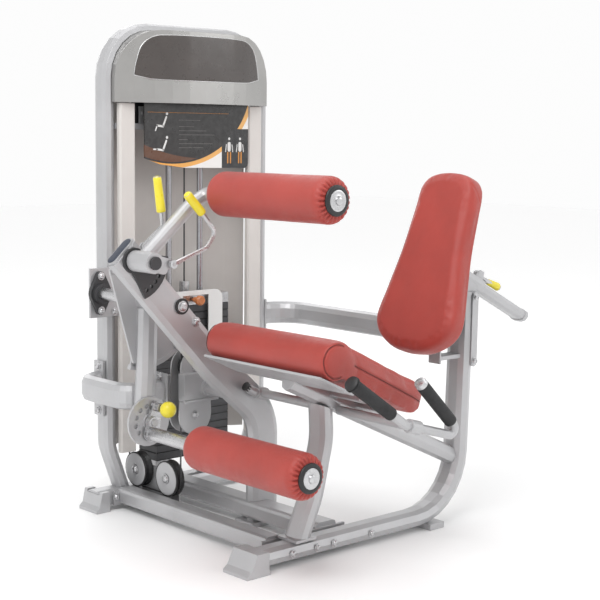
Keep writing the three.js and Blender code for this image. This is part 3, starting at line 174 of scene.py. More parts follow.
def powder_coat(name, colour, metallic=0.0, rough=0.42, wear=(0.30, 0.30, 0.31)):
    """Sprayed powder paint: fine orange peel, a faint cloud of tone, edges rubbed."""
    g = Graph(name, metallic=metallic, Coat_Weight=0.12, Coat_Roughness=0.28)
    cloud = g.noise(7.0, 4.0)
    tone = g.mix(g.ramp(cloud, 0.35, 0.65), shade(colour, 0.95), shade(colour, 1.04))
    fleck = g.ramp(g.noise(900.0, 2.0), 0.60, 0.72)
    tone = g.mix(g.math("MULTIPLY", fleck, 0.20), tone, shade(colour, 1.25))
    rubbed = g.math("MULTIPLY", g.edges(0.0022), g.ramp(g.noise(38.0, 5.0), 0.50, 0.66))
    g.colour(g.mix(g.math("MULTIPLY", rubbed, 0.55), tone, wear))
    smear = g.ramp(g.noise(16.0, 5.0), 0.3, 0.7, rough - 0.06, rough + 0.09)
    g.rough(smear)
    g.bump(g.noise(520.0, 2.0), 0.00022, 0.5, round_edges=0.0016)
    return g.material


def moulded(name, colour, rough=0.45, grain=0.00015, mottle=0.05, edge=0.0018, **sockets):
    """Moulded plastic or rubber: fine spark-eroded grain, slight mottling and handling marks."""
    g = Graph(name, **sockets)
    cloud = g.ramp(g.noise(11.0, 4.0), 0.33, 0.67)
    tone = g.mix(cloud, shade(colour, 1 - mottle), shade(colour, 1 + mottle))
    rubbed = g.math("MULTIPLY", g.edges(0.002), g.ramp(g.noise(60.0, 4.0), 0.45, 0.65))
    g.colour(g.mix(g.math("MULTIPLY", rubbed, 0.35), tone, shade(colour, 1.5)))
    g.rough(g.ramp(g.noise(45.0, 4.0), 0.3, 0.7, rough - 0.07, rough + 0.08))
    g.bump(g.cells(1400.0), grain, 0.5, round_edges=edge)
    return g.material


def bare_metal(name, colour, rough=0.28, stretch=(1, 1, 1), brush=260.0, **sockets):
    """Zinc plated or turned steel: drawn lines along one axis, and blotches."""
    g = Graph(name, metallic=1.0, **sockets)
    lines = g.noise(brush, 4.0, 0.6, g.stretched(stretch))
    blotch = g.ramp(g.noise(24.0, 5.0), 0.3, 0.7)
    tone = g.mix(blotch, shade(colour, 0.88), shade(colour, 1.05))
    g.colour(g.mix(g.ramp(lines, 0.35, 0.65, 0.0, 0.35), tone, shade(colour, 0.78)))
    g.rough(g.ramp(lines, 0.3, 0.7, rough - 0.06, rough + 0.10))
    g.bump(lines, 0.00006, 0.6, round_edges=0.0009)
    return g.material


def vinyl(name, colour, dark):
    """Upholstery vinyl: fine leather grain of cells and creases, slight sheen, painted shade in the grain's
    creases.
    """
    g = Graph(name, Sheen_Weight=0.10, Sheen_Roughness=0.5, Coat_Weight=0.10, Coat_Roughness=0.35)
    cell = g.cells(620.0, "F1")
    crease = g.ramp(g.cells(620.0, "DISTANCE_TO_EDGE"), 0.0, 0.12)
    fine = g.noise(1500.0, 3.0)
    cloud = g.ramp(g.noise(9.0, 4.0), 0.32, 0.68)
    tone = g.mix(cloud, shade(colour, 0.90), shade(colour, 1.06))
    # painted shade: the grain's creases are mixed up to a third of the way towards the dark colour, a shaded
    # red
    tone = g.mix(g.ramp(crease, 0.0, 1.0, 0.35, 0.0), tone, dark)
    scuff = g.math("MULTIPLY", g.ramp(g.noise(70.0, 6.0, 0.7), 0.60, 0.74), g.ramp(cloud, 0.4, 1.0))
    g.colour(g.mix(g.math("MULTIPLY", scuff, 0.16), tone, shade(colour, 1.35)))
    g.rough(g.ramp(g.noise(33.0, 4.0), 0.3, 0.7, 0.36, 0.52))
    height = g.math("ADD", g.math("MULTIPLY", crease, 0.7), g.math("MULTIPLY", cell, 0.3))
    height = g.math("ADD", height, g.math("MULTIPLY", fine, 0.15))
    g.bump(height, 0.00035, 0.6)
    return g.material


RED = (0.41, 0.044, 0.031)
finish = {
    "paint": powder_coat("silver_powder_coat", (0.50, 0.50, 0.51), metallic=0.55, rough=0.38),
    "cover": moulded("warm_grey_cover", (0.63, 0.60, 0.575), rough=0.50, mottle=0.025),
    "satin": powder_coat("satin_header", (0.40, 0.395, 0.385), metallic=0.95, rough=0.30),
    "steel": bare_metal("zinc_steel", (0.62, 0.62, 0.63)),
    "rod": bare_metal("ground_guide_rod", (0.42, 0.42, 0.44), rough=0.20, stretch=(1, 1, 0.03)),
    "black": moulded("black_plastic", (0.018, 0.018, 0.019), rough=0.42, mottle=0.2),
    "iron": powder_coat("cast_weight_plate", (0.050, 0.050, 0.053), metallic=0.3, rough=0.48,
                        wear=(0.22, 0.22, 0.22)),
    "white": moulded("white_guard", (0.74, 0.74, 0.73), rough=0.38, mottle=0.02),
    "yellow": moulded("yellow_grip", (0.80, 0.68, 0.035), rough=0.33, mottle=0.04,
                      Coat_Weight=0.25, Coat_Roughness=0.2),
    "orange": moulded("selector_knob", (0.52, 0.17, 0.055), rough=0.34, mottle=0.06,
                      Coat_Weight=0.2, Coat_Roughness=0.2),
    "foam": moulded("foam_grip", (0.020, 0.020, 0.021), rough=0.72, grain=0.0006, mottle=0.25),
    # the third colour is the painted shade in the vinyl's grain creases
    "vinyl": vinyl("red_vinyl", RED, (0.17, 0.026, 0.022)),
}
finish["badge"] = moulded("gloss_badge", (0.052, 0.043, 0.039), rough=0.30, grain=0.00004,
                          mottle=0.1, Coat_Weight=0.4, Coat_Roughness=0.12)


def twisted_cable():
    """Black nylon sleeve over a wire rope, whose strands show faintly through it."""
    g = Graph("coated_cable", roughness=0.4, Coat_Weight=0.3, Coat_Roughness=0.3)
    wave = g.add("ShaderNodeTexWave", wave_type="BANDS", bands_direction="DIAGONAL")
    wave.inputs["Scale"].default_value = 120.0
    wave.inputs["Distortion"].default_value = 1.5
    g.link(g.place, wave.inputs["Vector"])
    g.colour(g.mix(wave.outputs["Fac"], (0.012, 0.012, 0.013), (0.035, 0.035, 0.037)))
    g.bump(wave.outputs["Fac"], 0.0004, 0.6)
    return g.material


finish["cable"] = twisted_cable()


PLATES_LOW = 0.1305  # the underside of the lowest weight plate, in metres
PLATE_PITCH = 0.02435
# the gap between two plates is painted shade on one block, not an opening
PLATE_GAP = 0.11  # the share of the pitch that the gap between two plates takes


def plate_stack():
    """Cast plates, with painted shade in the gap between each and the next."""
    g = Graph("plate_stack", metallic=0.3)
    split = g.add("ShaderNodeSeparateXYZ")
    g.link(g.place, split.inputs[0])
    above = g.math("SUBTRACT", split.outputs["Z"], PLATES_LOW)
    layer = g.math("FRACT", g.math("DIVIDE", above, PLATE_PITCH))
    gap = g.math("LESS_THAN", layer, PLATE_GAP)
    cloud = g.ramp(g.noise(14.0, 5.0), 0.3, 0.7)
    tone = g.mix(cloud, (0.045, 0.045, 0.048), (0.070, 0.070, 0.074))
    # painted shade: the gap between each plate and the next is coloured near black
    g.colour(g.mix(gap, tone, (0.006, 0.006, 0.006)))
    g.rough(g.ramp(g.noise(50.0, 4.0), 0.3, 0.7, 0.42, 0.58))
    soft = g.math("MULTIPLY", g.ramp(layer, 0.0, 0.14), g.ramp(layer, 1.0, 0.93))
    g.bump(g.math("ADD", soft, g.math("MULTIPLY", g.noise(420.0, 2.0), 0.06)), 0.0016, 0.9)
    return g.material


finish["stack"] = plate_stack()


def look_of(part):
    """A node has its slot's finish, apart from the guide rods and the plates at rest."""
    if part["node"].startswith("guide_rod"):
        return finish["rod"]
    if part["node"] == "resting_plates":
        return finish["stack"]
    return finish[part["material_slot"]]


for part in frame["record"]["subparts"]:
    node = frame["nodes"][part["node"]]
    if not node.material_slots:
        node.data.materials.append(look_of(part))
    for material_slot in node.material_slots:
        material_slot.material = look_of(part)


# Camera, light and floor.

def make_camera():
    """A view from the machine's front left, a little over a metre up."""
    data = bpy.data.cameras.new("camera")
    data.lens = 82.0
    data.sensor_width = 36.0
    data.clip_start = 0.05
    data.clip_end = 60.0
    camera = bpy.data.objects.new("camera", data)
    scene.collection.objects.link(camera)
    camera.matrix_world = Matrix(
        (
            (0.7406, 0.0726, -0.6681, -2.740),
            (-0.6719, 0.0956, -0.7344, -2.980),
            (0.0106, 0.9928, 0.1196, 1.157),
            (0, 0, 0, 1),
        )
    )
    scene.camera = camera


def softbox(name, place, aim, width, height, power):
    """A rectangular lamp that faces a point."""
    data = bpy.data.lights.new(name, "AREA")
    data.shape = "RECTANGLE"
    data.size = width
    data.size_y = height
    data.energy = power
    light = bpy.data.objects.new(name, data)
    light.location = place
    light.rotation_mode = "QUATERNION"
    light.rotation_quaternion = (Vector(aim) - Vector(place)).to_track_quat("-Z", "Y")
    scene.collection.objects.link(light)


def make_room():
    """A white studio: its world, its pale floor and its lamps."""
    world = bpy.data.worlds.new("studio")
    scene.world = world
    world.use_nodes = True
    # white round the horizon, dimmer overhead, so that upper faces are modelled by the lamps
    nodes, links = world.node_tree.nodes, world.node_tree.links
    height = nodes.new("ShaderNodeSeparateXYZ")
    links.new(nodes.new("ShaderNodeTexCoord").outputs["Generated"], height.inputs[0])
    fade = nodes.new("ShaderNodeMapRange")
    fade.interpolation_type = "SMOOTHSTEP"
    for key, value in (("From Min", 0.28), ("From Max", 0.80), ("To Min", 1.0), ("To Max", 0.5)):
        fade.inputs[key].default_value = value
    links.new(height.outputs["Z"], fade.inputs["Value"])
    links.new(fade.outputs[0], nodes["Background"].inputs["Color"])
    nodes["Background"].inputs["Strength"].default_value = 0.98
    mesh = bpy.data.meshes.new("floor")
    shape = bmesh.new()
    # one sheet that runs flat under the machine and is wide enough for every view
    bmesh.ops.create_grid(shape, x_segments=24, y_segments=24, size=16.0)
    shape.to_mesh(mesh)
    shape.free()
    floor = bpy.data.objects.new("floor", mesh)
    floor.location = (0, 0, -0.0005)
    scene.collection.objects.link(floor)
    g = Graph("pale_floor", roughness=0.75)
    g.colour(g.mix(g.noise(1.5, 3.0), (0.93, 0.93, 0.93), (0.96, 0.96, 0.96)))
    # far from the machine the floor glows with painted light and fades into the white of the studio
    far = g.add("ShaderNodeVectorMath", operation="LENGTH")
    g.link(g.place, far.inputs[0])
    g.link(g.ramp(far.outputs["Value"], 1.3, 4.5, 0.0, 0.34), g.shader.inputs["Emission Strength"])
    g.shader.inputs["Emission Color"].default_value = (1.0, 1.0, 1.0, 1.0)
    mesh.materials.append(g.material)
    softbox("key_light", (-2.4, -1.2, 3.8), (0, 0, 0.6), 2.2, 1.8, 80)
    softbox("fill_light", (3.0, -3.0, 2.6), (0, 0, 0.7), 2.6, 2.0, 24)
    softbox("top_light", (0.2, 0.2, 4.4), (0, 0, 0.5), 3.4, 3.4, 60)
    softbox("back_light", (1.4, 3.6, 2.6), (0, 0, 0.9), 2.4, 2.0, 24)
    scene.view_settings.view_transform = "Standard"


make_camera()
make_room()


# Mesh helpers. Lengths in the helpers below are in millimetres, and vertices are made in metres.

MM = 0.001


def add_piece(name, vertices, faces, body, slot, look=None, smooth=True):
    """A mesh piece that rides on a body. Its finish is a slot's own, or another one passed in."""
    mesh = bpy.data.meshes.new(name)
    mesh.from_pydata([Vector(v) * MM for v in vertices], [], faces)
    mesh.materials.append(look or finish[slot])
    shape = bmesh.new()
    shape.from_mesh(mesh)
    bmesh.ops.recalc_face_normals(shape, faces=shape.faces)
    shape.to_mesh(mesh)
    shape.free()
    if smooth:
        mesh.shade_smooth()
    else:
        mesh.shade_flat()
    made = bpy.data.objects.new(name, mesh)
    scene.collection.objects.link(made)
    if body:
        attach(made, body)
    return made


def axes_for(direction):
    """The direction as a unit vector, and two unit vectors square to it."""
    ahead = Vector(direction).normalized()
    helper = Vector((0, 0, 1)) if abs(ahead.z) < 0.9 else Vector((1, 0, 0))
    side = ahead.cross(helper).normalized()
    return ahead, side, side.cross(ahead)


def revolve(start, direction, profile, count, pleat=None):
    """Vertices and faces of a body of revolution. profile lists (distance along the axis, radius) from
    end to end. pleat(distance, radius, angle) may move a point along the axis and outwards."""
    ahead, side, up = axes_for(direction)
    base = Vector(start)
    vertices = []
    for along, radius in profile:
        for k in range(count):
            angle = 2 * math.pi * k / count
            shift, grow = pleat(along, radius, angle) if pleat else (0.0, 0.0)
            out = side * math.cos(angle) + up * math.sin(angle)
            vertices.append(base + ahead * (along + shift) + out * (radius + grow))
    faces = []
    for row in range(len(profile) - 1):
        for k in range(count):
            a, b = row * count + k, row * count + (k + 1) % count
            faces.append((a, b, b + count, a + count))
    last = (len(profile) - 1) * count
    faces += [tuple(range(count)), tuple(last + k for k in range(count))]
    return vertices, faces


def turned(name, start, direction, profile, body, slot, look=None, count=32, pleat=None):
    """A turned piece: a body of revolution with its edges kept crisp."""
    vertices, faces = revolve(start, direction, profile, count, pleat)
    made = add_piece(name, vertices, faces, body, slot, look)
    sharpen(made)
    return made


def sharpen(made, angle=38):
    """Edges steeper than the angle stay crisp, the rest are shaded smooth."""
    shape = bmesh.new()
    shape.from_mesh(made.data)
    for edge in shape.edges:
        if len(edge.link_faces) == 2 and edge.calc_face_angle(0) > math.radians(angle):
            edge.smooth = False
    shape.to_mesh(made.data)
    shape.free()


def hose(name, points, radius, body, slot, look=None, count=10, closed=False):
    """A round tube along a list of points."""
    points = [Vector(p) for p in points]
    rings = len(points)
    vertices, up = [], None
    for i, point in enumerate(points):
        before = points[i - 1] if i or closed else point
        after = points[(i + 1) % rings] if i < rings - 1 or closed else point
        ahead = (after - before).normalized()
        if up is None:
            up = axes_for(ahead)[2]
        up = (up - ahead * up.dot(ahead)).normalized()
        side = ahead.cross(up)
        for k in range(count):
            angle = 2 * math.pi * k / count
            vertices.append(point + (side * math.cos(angle) + up * math.sin(angle)) * radius)
    faces = []
    for i in range(rings if closed else rings - 1):
        for k in range(count):
            a, b = i * count + k, i * count + (k + 1) % count
            c, d = (b + count) % len(vertices), (a + count) % len(vertices)
            faces.append((a, b, c, d))
    if not closed:
        faces.append(tuple(range(count)))
        faces.append(tuple((rings - 1) * count + k for k in range(count)))
    return add_piece(name, vertices, faces, body, slot, look)


def settle(made):
    """Makes a piece's modifiers permanent."""
    graph = bpy.context.evaluated_depsgraph_get()
    mesh = bpy.data.meshes.new_from_object(made.evaluated_get(graph))
    made.modifiers.clear()
    made.data = mesh
    return made


FILLING = 2.5  # the pressure that fills the cushions out
FILLING_STEPS = 18


def stuff(made, voxel, rounding, cap, calm, hold):
    """Remeshes a plain block, rounds its edges and lets cloth pressure fill it out.
    No point moves more than cap, in millimetres; hold(point) says what the base holds still.
    calm is how many times the filled cover is evened out, which takes its small wrinkles away."""
    remesh = made.modifiers.new("remesh", "REMESH")
    remesh.mode = "VOXEL"
    remesh.voxel_size = voxel * MM
    soften = made.modifiers.new("soften", "SMOOTH")
    soften.factor = 0.5
    soften.iterations = rounding
    settle(made)
    rest = [v.co.copy() for v in made.data.vertices]
    cloth = made.modifiers.new("filling", "CLOTH")
    cloth.settings.use_pressure = True
    cloth.settings.uniform_pressure_force = FILLING
    cloth.settings.effector_weights.gravity = 0
    cloth.settings.quality = 4
    for number in range(1, FILLING_STEPS + 1):
        scene.frame_set(number)
    settle(made)
    scene.frame_set(1)
    for vertex, start in zip(made.data.vertices, rest):
        move = vertex.co - start
        limit = cap * MM * hold(start)
        if move.length > limit:
            vertex.co = start + move.normalized() * limit
    even = made.modifiers.new("even", "SMOOTH")
    even.factor = 0.5
    even.iterations = calm
    finer = made.modifiers.new("finer", "SUBSURF")
    finer.levels = 1
    finer.render_levels = 1
    settle(made)
    made.data.shade_smooth()
    return made


def crease(made, lines, width, depth):
    """Pulls the surface in along sewn lines, as the thread does."""
    tree = Tree(len(lines))
    for index, point in enumerate(lines):
        tree.insert(Vector(point) * MM, index)
    tree.balance()
    for vertex in made.data.vertices:
        gap = tree.find(vertex.co)[2] / MM
        if gap < width * 2:
            pull = math.exp(-((gap / width) ** 2) * 1.6)
            vertex.co -= vertex.normal * depth * pull * MM


# Where things are, in millimetres: the same points that the CAD is drawn from.

SEAT_Y = -288.0
CUSHION_Y = -270.0
SEAT_TOP = (-342.0, 634.0)
SEAT_SLOPE = 0.43
SEAT_ROLL = 52.0  # radius of the roll along the seat's front
SEAT_BEFORE_FILLING = 0.988  # the share of its size that the seat starts from, because it swells
SEAT_BACK = 460.0  # a point behind the seat's rear edge, along its slope
BACK_FOOT = (118.0, 548.0)
BACK_LEAN = 0.33


SIDES = ((-1, "near"), (1, "far"))


def box_mm(node):
    """A node's box, in millimetres."""
    low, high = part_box(node)
    return low / MM, high / MM


def along_seat(s, h, y):
    """A point s down the seat's slope and h above its top face."""
    x = SEAT_TOP[0] + s * math.cos(SEAT_SLOPE) + h * math.sin(SEAT_SLOPE)
    z = SEAT_TOP[1] - s * math.sin(SEAT_SLOPE) + h * math.cos(SEAT_SLOPE)
    return Vector((x, y, z))


def along_back(u, h, y):
    """A point u up the backrest's lean and h behind its front face."""
    x = BACK_FOOT[0] + u * math.sin(BACK_LEAN) + h * math.cos(BACK_LEAN)
    z = BACK_FOOT[1] + u * math.cos(BACK_LEAN) - h * math.sin(BACK_LEAN)
    return Vector((x, SEAT_Y + y, z))


def smooth_loop(points, steps, closed=True):
    """Catmull-Rom curve through the points."""
    result, n = [], len(points)
    for i in range(n if closed else n - 1):
        if closed:
            p = [Vector(points[(i + k - 1) % n]) for k in range(4)]
        else:
            p = [Vector(points[min(max(i + k - 1, 0), n - 1)]) for k in range(4)]
        for step in range(steps):
            t = step / steps
            result.append(
                0.5 * (2 * p[1] + (p[2] - p[0]) * t + (2 * p[0] - 5 * p[1] + 4 * p[2] - p[3]) * t * t
                       + (3 * p[1] - p[0] - 3 * p[2] + p[3]) * t ** 3)
            )
    if not closed:
        result.append(Vector(points[-1]))
    return result


def seam_on(made, starts, direction):
    """Points where lines from the start points first meet the piece."""
    tree = BVHTree.FromPolygons(
        [v.co for v in made.data.vertices], [tuple(p.vertices) for p in made.data.polygons]
    )
    found = []
    for start in starts:
        hit = tree.ray_cast(Vector(start) * MM, Vector(direction), 0.6)[0]
        if hit is not None:
            found.append(hit / MM)
    return found


def between(points, parts):
    """The points of a line, with more of them laid evenly between each and the next."""
    dense = []
    for a, b in zip(points, points[1:]):
        dense += [a.lerp(b, t / parts) for t in range(parts)]
    return dense


thread = moulded("seam_thread", (0.10, 0.016, 0.013), rough=0.6)


def seat_seams(seat):
    """Where the seat's cover is sewn: round the ends of its roll, along its sides and across its rear."""
    seams = {}
    for side, where in SIDES:
        outside = CUSHION_Y + side * 300
        centre = along_seat(0, -SEAT_ROLL, outside)
        rim = []
        for k in range(29):
            angle = math.radians(84 + k * 8.2) - SEAT_SLOPE
            rim.append(centre + Vector((math.cos(angle) * 44, 0, math.sin(angle) * 44)))
        seams[f"roll_{where}"] = seam_on(seat, rim, (0, -side, 0))
        flank = [along_seat(66 + k * 7.9, -40 - k * 0.1, outside) for k in range(41)]
        seams[f"flank_{where}"] = seam_on(seat, flank, (0, -side, 0))
    back = Vector((-math.cos(SEAT_SLOPE), 0, math.sin(SEAT_SLOPE)))
    rear = [along_seat(SEAT_BACK, -44, CUSHION_Y + y) for y in range(-192, 193, 8)]
    seams["rear"] = seam_on(seat, rear, back)
    return seams


def make_seat():
    """The seat: a wide front roll that runs on into a tapered slab, sewn round its sides."""
    node = frame["nodes"]["seat_cushion"]
    mesh = node.data.copy()
    mesh.materials.clear()
    mesh.materials.append(finish["vinyl"])
    seat = bpy.data.objects.new("seat_upholstery", mesh)
    scene.collection.objects.link(seat)
    low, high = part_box("seat_cushion")
    middle = (low + high) / 2
    for vertex in mesh.vertices:
        vertex.co = middle + (vertex.co - middle) * SEAT_BEFORE_FILLING
    # The base board under the slab keeps the underside flat.
    down = Vector((math.sin(SEAT_SLOPE), 0, math.cos(SEAT_SLOPE)))
    base = Vector(along_seat(0, -72, SEAT_Y)) * MM

    def hold(point):
        return 0.25 if (point - base).dot(down) < 0 else 1.0

    stuff(seat, voxel=6.0, rounding=5, cap=6.0, calm=10, hold=hold)
    seams = seat_seams(seat)
    dense = []
    for points in seams.values():
        dense += between(points, 4)
    crease(seat, dense, 4.0, 2.6)
    for name, points in seams.items():
        hose(f"seat_seam_{name}", smooth_loop(points, 2, False), 0.9, "frame", "vinyl", thread, 6)
    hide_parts("seat_cushion")
    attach(seat, "frame")


def inset_ring(loop, inset, h):
    """The backrest's outline drawn in by an inset, at a depth h behind its face."""
    ring = []
    for i, point in enumerate(loop):
        run = (loop[(i + 1) % len(loop)] - loop[i - 1]).normalized()
        moved = point - Vector((run.y, -run.x, 0)) * inset
        ring.append(along_back(moved.y, h, moved.x))
    return ring


def make_back_pad():
    """The backrest: narrow at the top, widest low down, rounded all round its face."""
    half = [
        (-6, 0), (-3, 52), (12, 92), (36, 128), (70, 150), (112, 153), (190, 140), (300, 121),
        (420, 111), (480, 106), (514, 90), (534, 58), (541, 0),
    ]
    loop = smooth_loop(
        [(y, u, 0) for u, y in half] + [(-y, u, 0) for u, y in reversed(half[1:-1])], 6
    )
    n = len(loop)
    # from the closed back, round the side, to the face: inset and depth
    rows = [(16, 63.5), (5, 61), (1, 54), (0, 40), (0, 24), (1.5, 15), (6, 8), (14, 3), (26, 1)]
    vertices, faces = [], []
    for inset, h in rows:
        vertices += inset_ring(loop, inset, h)
    for row in range(len(rows) - 1):
        for i in range(n):
            a, b = row * n + i, row * n + (i + 1) % n
            faces.append((a, b, b + n, a + n))
    faces.append(tuple(range(n)))
    faces.append(tuple((len(rows) - 1) * n + i for i in range(n)))
    pad = add_piece("back_upholstery", vertices, faces, None, "vinyl")
    lean = Vector((math.cos(BACK_LEAN), 0, -math.sin(BACK_LEAN)))
    base = Vector(along_back(0, 52, 0)) * MM

    def hold(point):
        return 0.1 if (point - base).dot(lean) > 0 else 1.0

    stuff(pad, voxel=5.0, rounding=2, cap=3.0, calm=3, hold=hold)
    # a sewn joint at the top corner of each side
    outside = [along_back(505 - k * 3.0, 12 + k * 2.4, -260) for k in range(15)]
    joint = seam_on(pad, outside, (0, 1, 0))
    other = seam_on(pad, [Vector((p.x, 2 * SEAT_Y - p.y, p.z)) for p in outside], (0, -1, 0))
    crease(pad, between(joint, 3) + between(other, 3), 3.4, 1.4)
    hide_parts("back_pad")
    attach(pad, "carriage")
    board = inset_ring(loop, 13, 63.6) + inset_ring(loop, 13, 65.6)
    edge = [(i, (i + 1) % n, n + (i + 1) % n, n + i) for i in range(n)]
    edge += [tuple(range(n)), tuple(n + i for i in range(n))]
    add_piece("back_board", board, edge, "carriage", "black", smooth=False)


def gathered(along, radius, angle):
    """Radial gathers of the vinyl where it is drawn in under the end ring."""
    strength = math.exp(-(((radius - 46) / 9) ** 2)) if along < 16 else 0.0
    if along >= 9 and radius > 50:
        strength = max(strength, 0.35 * max(0.0, 1 - (along - 9) / 14))
    fold = abs(math.sin(angle * 12 + 0.35 * math.sin(angle * 3)))
    return strength * (1 - fold) ** 1.2 * 9.0, -strength * (1 - fold) * 2.6


def make_roller(name, node, body):
    """A roller's cover, gathered at its near end, with a ring there and a plug at its far end."""
    low, high = box_mm(node)
    x, z = (low.x + high.x) / 2, (low.z + high.z) / 2
    radius = (high.x - low.x) / 2
    length = high.y - low.y
    rows = [(5.5, 21.5), (3.0, 26), (2.2, 32), (2.0, 37), (2.0, 40), (2.2, 43), (2.9, 46), (4.2, 49),
            (6.0, 51.5), (8.4, 54), (11.5, 56.6), (15, 58.8), (20, 60.6), (26, 61.6), (34, radius)]
    steps = 40
    rows += [(34 + (length - 62) * k / steps, radius) for k in range(1, steps + 1)]
    rows += [(length - 28 + 26 * math.sin(a), radius - 26 * (1 - math.cos(a)))
             for a in (0.25, 0.5, 0.75, 1.0, 1.25, 1.5)]
    rows += [(length - 1.5, 33), (length - 4, 31), (length - 10, 30)]

    def shape(along, r, angle):
        if along < 30:
            return gathered(along, r, angle)
        soft = noise.noise(Vector((math.cos(angle) * 1.3, math.sin(angle) * 1.3, along / 120)))
        return 0.0, soft * 0.5 - 0.5

    roller = turned(name, (x, low.y, z), (0, 1, 0), rows, None, "vinyl", count=144, pleat=shape)
    for edge in roller.data.edges:
        edge.use_edge_sharp = False
    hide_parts(node)
    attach(roller, body)
    turned(f"{name}_ring", (x, low.y, z), (0, 1, 0),
           [(2.4, 28), (2.4, 39.4), (-1.0, 40), (-3.2, 38.8), (-4.4, 36), (-5.2, 33), (-5.4, 29.6),
            (-4.4, 28)], body, "black", count=48)
    turned(f"{name}_far_plug", (x, high.y, z), (0, 1, 0),
           [(-9.5, 22.5), (-2.4, 22.5), (-1.6, 24), (-1.6, 27), (-3, 29.4), (-9.5, 29.6)],
           body, "black", count=48)


make_seat()
make_back_pad()
make_roller("lower_roller_cover", "lower_roller", "lower_roller")
make_roller("upper_roller_cover", "upper_roller", "upper_roller")


# Fasteners: a washer and a domed head with a round socket over each bolt of the CAD.

def fasteners(name, body, places):
    """One piece with a washer and a head at each place: a point, a direction, a radius and a height."""
    vertices, faces = [], []

    def take(part):
        offset = len(vertices)
        vertices.extend(part[0])
        faces.extend(tuple(offset + i for i in face) for face in part[1])

    for at, direction, r, h in places:
        washer = [(0.2, r + 4.2), (1.6, r + 4.2), (2.1, r + 3.6), (2.1, r + 0.5)]
        take(revolve(at, direction, washer, 24))
        dome = [(1.9, r + 1.0), (h * 0.55, r + 0.9), (h + 0.4, r * 0.92), (h + 1.6, r * 0.66),
                (h + 1.9, r * 0.56), (h + 1.8, r * 0.50), (h + 0.3, r * 0.48)]
        take(revolve(at, direction, dome, 24))
    made = add_piece(name, vertices, faces, body, "steel")
    sharpen(made)


fasteners("frame_bolts", "frame", [
    ((-415, 490, 312), (-1, 0, 0), 9, 7), ((-415, 490, 450), (-1, 0, 0), 9, 7),
    ((-354, 256, 337), (-1, 0, 0), 8, 6), ((-354, 256, 444), (-1, 0, 0), 8, 6),
    ((-261.5, 205, 323), (0, -1, 0), 9, 6), ((-261.5, 205, 467), (0, -1, 0), 9, 6),
    ((-311, 446, 118), (-1, 0, 0), 11, 6), ((-311, 287, 118), (-1, 0, 0), 11, 6),
    ((-380, 449, 40), (0, -1, 0), 8, 6), ((376, -334, 490), (0, -1, 0), 8, 7),
    ((376, -334, 682), (0, -1, 0), 8, 7), ((-342, -328, 36), (0, -1, 0), 8, 6),
    ((-252, -328, 36), (0, -1, 0), 8, 6), ((-188, -328, 36), (0, -1, 0), 8, 6),
    ((-42, -328, 36), (0, -1, 0), 8, 6), ((249, -288, 530), (-1, 0, 0), 8, 6),
    ((-388, 40, 632), (0, -1, 0), 10, 7), ((-383, 448.5, 620), (0, -1, 0), 8, 6),
    ((-383, 448.5, 740), (0, -1, 0), 8, 6), ((-440, 434.2, 628), (0, -1, 0), 8, 7),
    ((-440, 434.2, 732), (0, -1, 0), 8, 7), ((-440, 34.6, 680), (0, -1, 0), 12, 7),
])
fasteners("arm_bolts", "arm", [((-296, 218, 552), (0, -1, 0), 8, 5)])

turned("knee_washer", (-440, 35, 680), (0, -1, 0),
       [(-4, 22.6), (0.6, 22.6), (1.4, 21.6), (1.4, 14), (0.4, 13)], "frame", "black", count=40)


# Washers on the roller bars: a dished disc with a domed nut.

def bar_end(name, node, body):
    """The washer and nut on the near end of a roller's bar."""
    low, high = box_mm(node)
    at = ((low.x + high.x) / 2, low.y, (low.z + high.z) / 2)
    turned(name, at, (0, -1, 0),
           [(4.0, 27.4), (5.4, 27.4), (6.0, 26.2), (6.2, 22), (5.8, 13.0), (6.4, 12.0),
            (11.2, 11.0), (12.6, 9), (13.4, 5), (13.6, 0.4)], body, "steel", count=40)


bar_end("lower_bar_washer", "lower_roller", "crank")
bar_end("upper_bar_washer", "upper_roller", "thigh")


# Black foam grips: the lower one has a flange at its open end, the upper ones a metal cap.

def grip(name, node, start, end, flange, body="frame"):
    start, end = Vector(start), Vector(end)
    length = (end - start).length
    if flange:
        rows = [(0.0, 14.2), (0.0, 19.5), (1.5, 21.5), (5, 21.5), (6.5, 19.5), (8, 17.6)]
    else:
        rows = [(0.0, 14.2), (0.4, 16.4), (2.5, 17.4)]
    steps = 46
    rows += [(9 + (length - 18) * k / steps, 17.7) for k in range(steps + 1)]
    rows += [(length - 6, 17.8), (length - 2, 17.0), (length - 0.3, 15.6), (length - 0.3, 14.2)]
    made = turned(name, start, end - start, rows, body, "foam", count=28)
    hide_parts(node)


def on_line(a, b, t):
    """The point a share t of the way from a to b, in the XZ plane."""
    return a[0] + (b[0] - a[0]) * t, a[1] + (b[1] - a[1]) * t


# the hairpin handles, each in a plane across Y; only the near one has a lower grip
FRONT, KNEE, BEND, TIP = (-392, 545), (-196, 414), (36, 348), (-142, 519)
HANDLE_OUT = 306
FAR_START = on_line(FRONT, KNEE, 0.88)


def at_y(point, y):
    return point[0], y, point[1]


def handle_plug(name, end, y, wide):
    """The plug in a handle's lower front end."""
    turned(name, at_y(end, y), (FRONT[0] - KNEE[0], 0, FRONT[1] - KNEE[1]),
           [(-8, 12.6), (0.5, 12.8), (2.6, wide), (4.2, wide - 0.2), (6.6, wide * 0.75), (7.6, 8),
            (7.9, 0.5)], "frame", "black", count=28)


def upper_end(where, y):
    """The foam grip and the metal cap at a handle's upper end."""
    tip, foot = on_line(BEND, TIP, 0.96), on_line(BEND, TIP, 0.3)
    grip(f"foam_high_{where}", f"grip_high_{where}", at_y(tip, y), at_y(foot, y), False)
    turned(f"handle_cap_{where}", at_y(tip, y), (TIP[0] - BEND[0], 0, TIP[1] - BEND[1]),
           [(0.6, 13.2), (0.8, 17.4), (11, 17.4), (13.6, 15.8), (14.8, 11), (15.2, 0.5)],
           "frame", "steel", count=28)


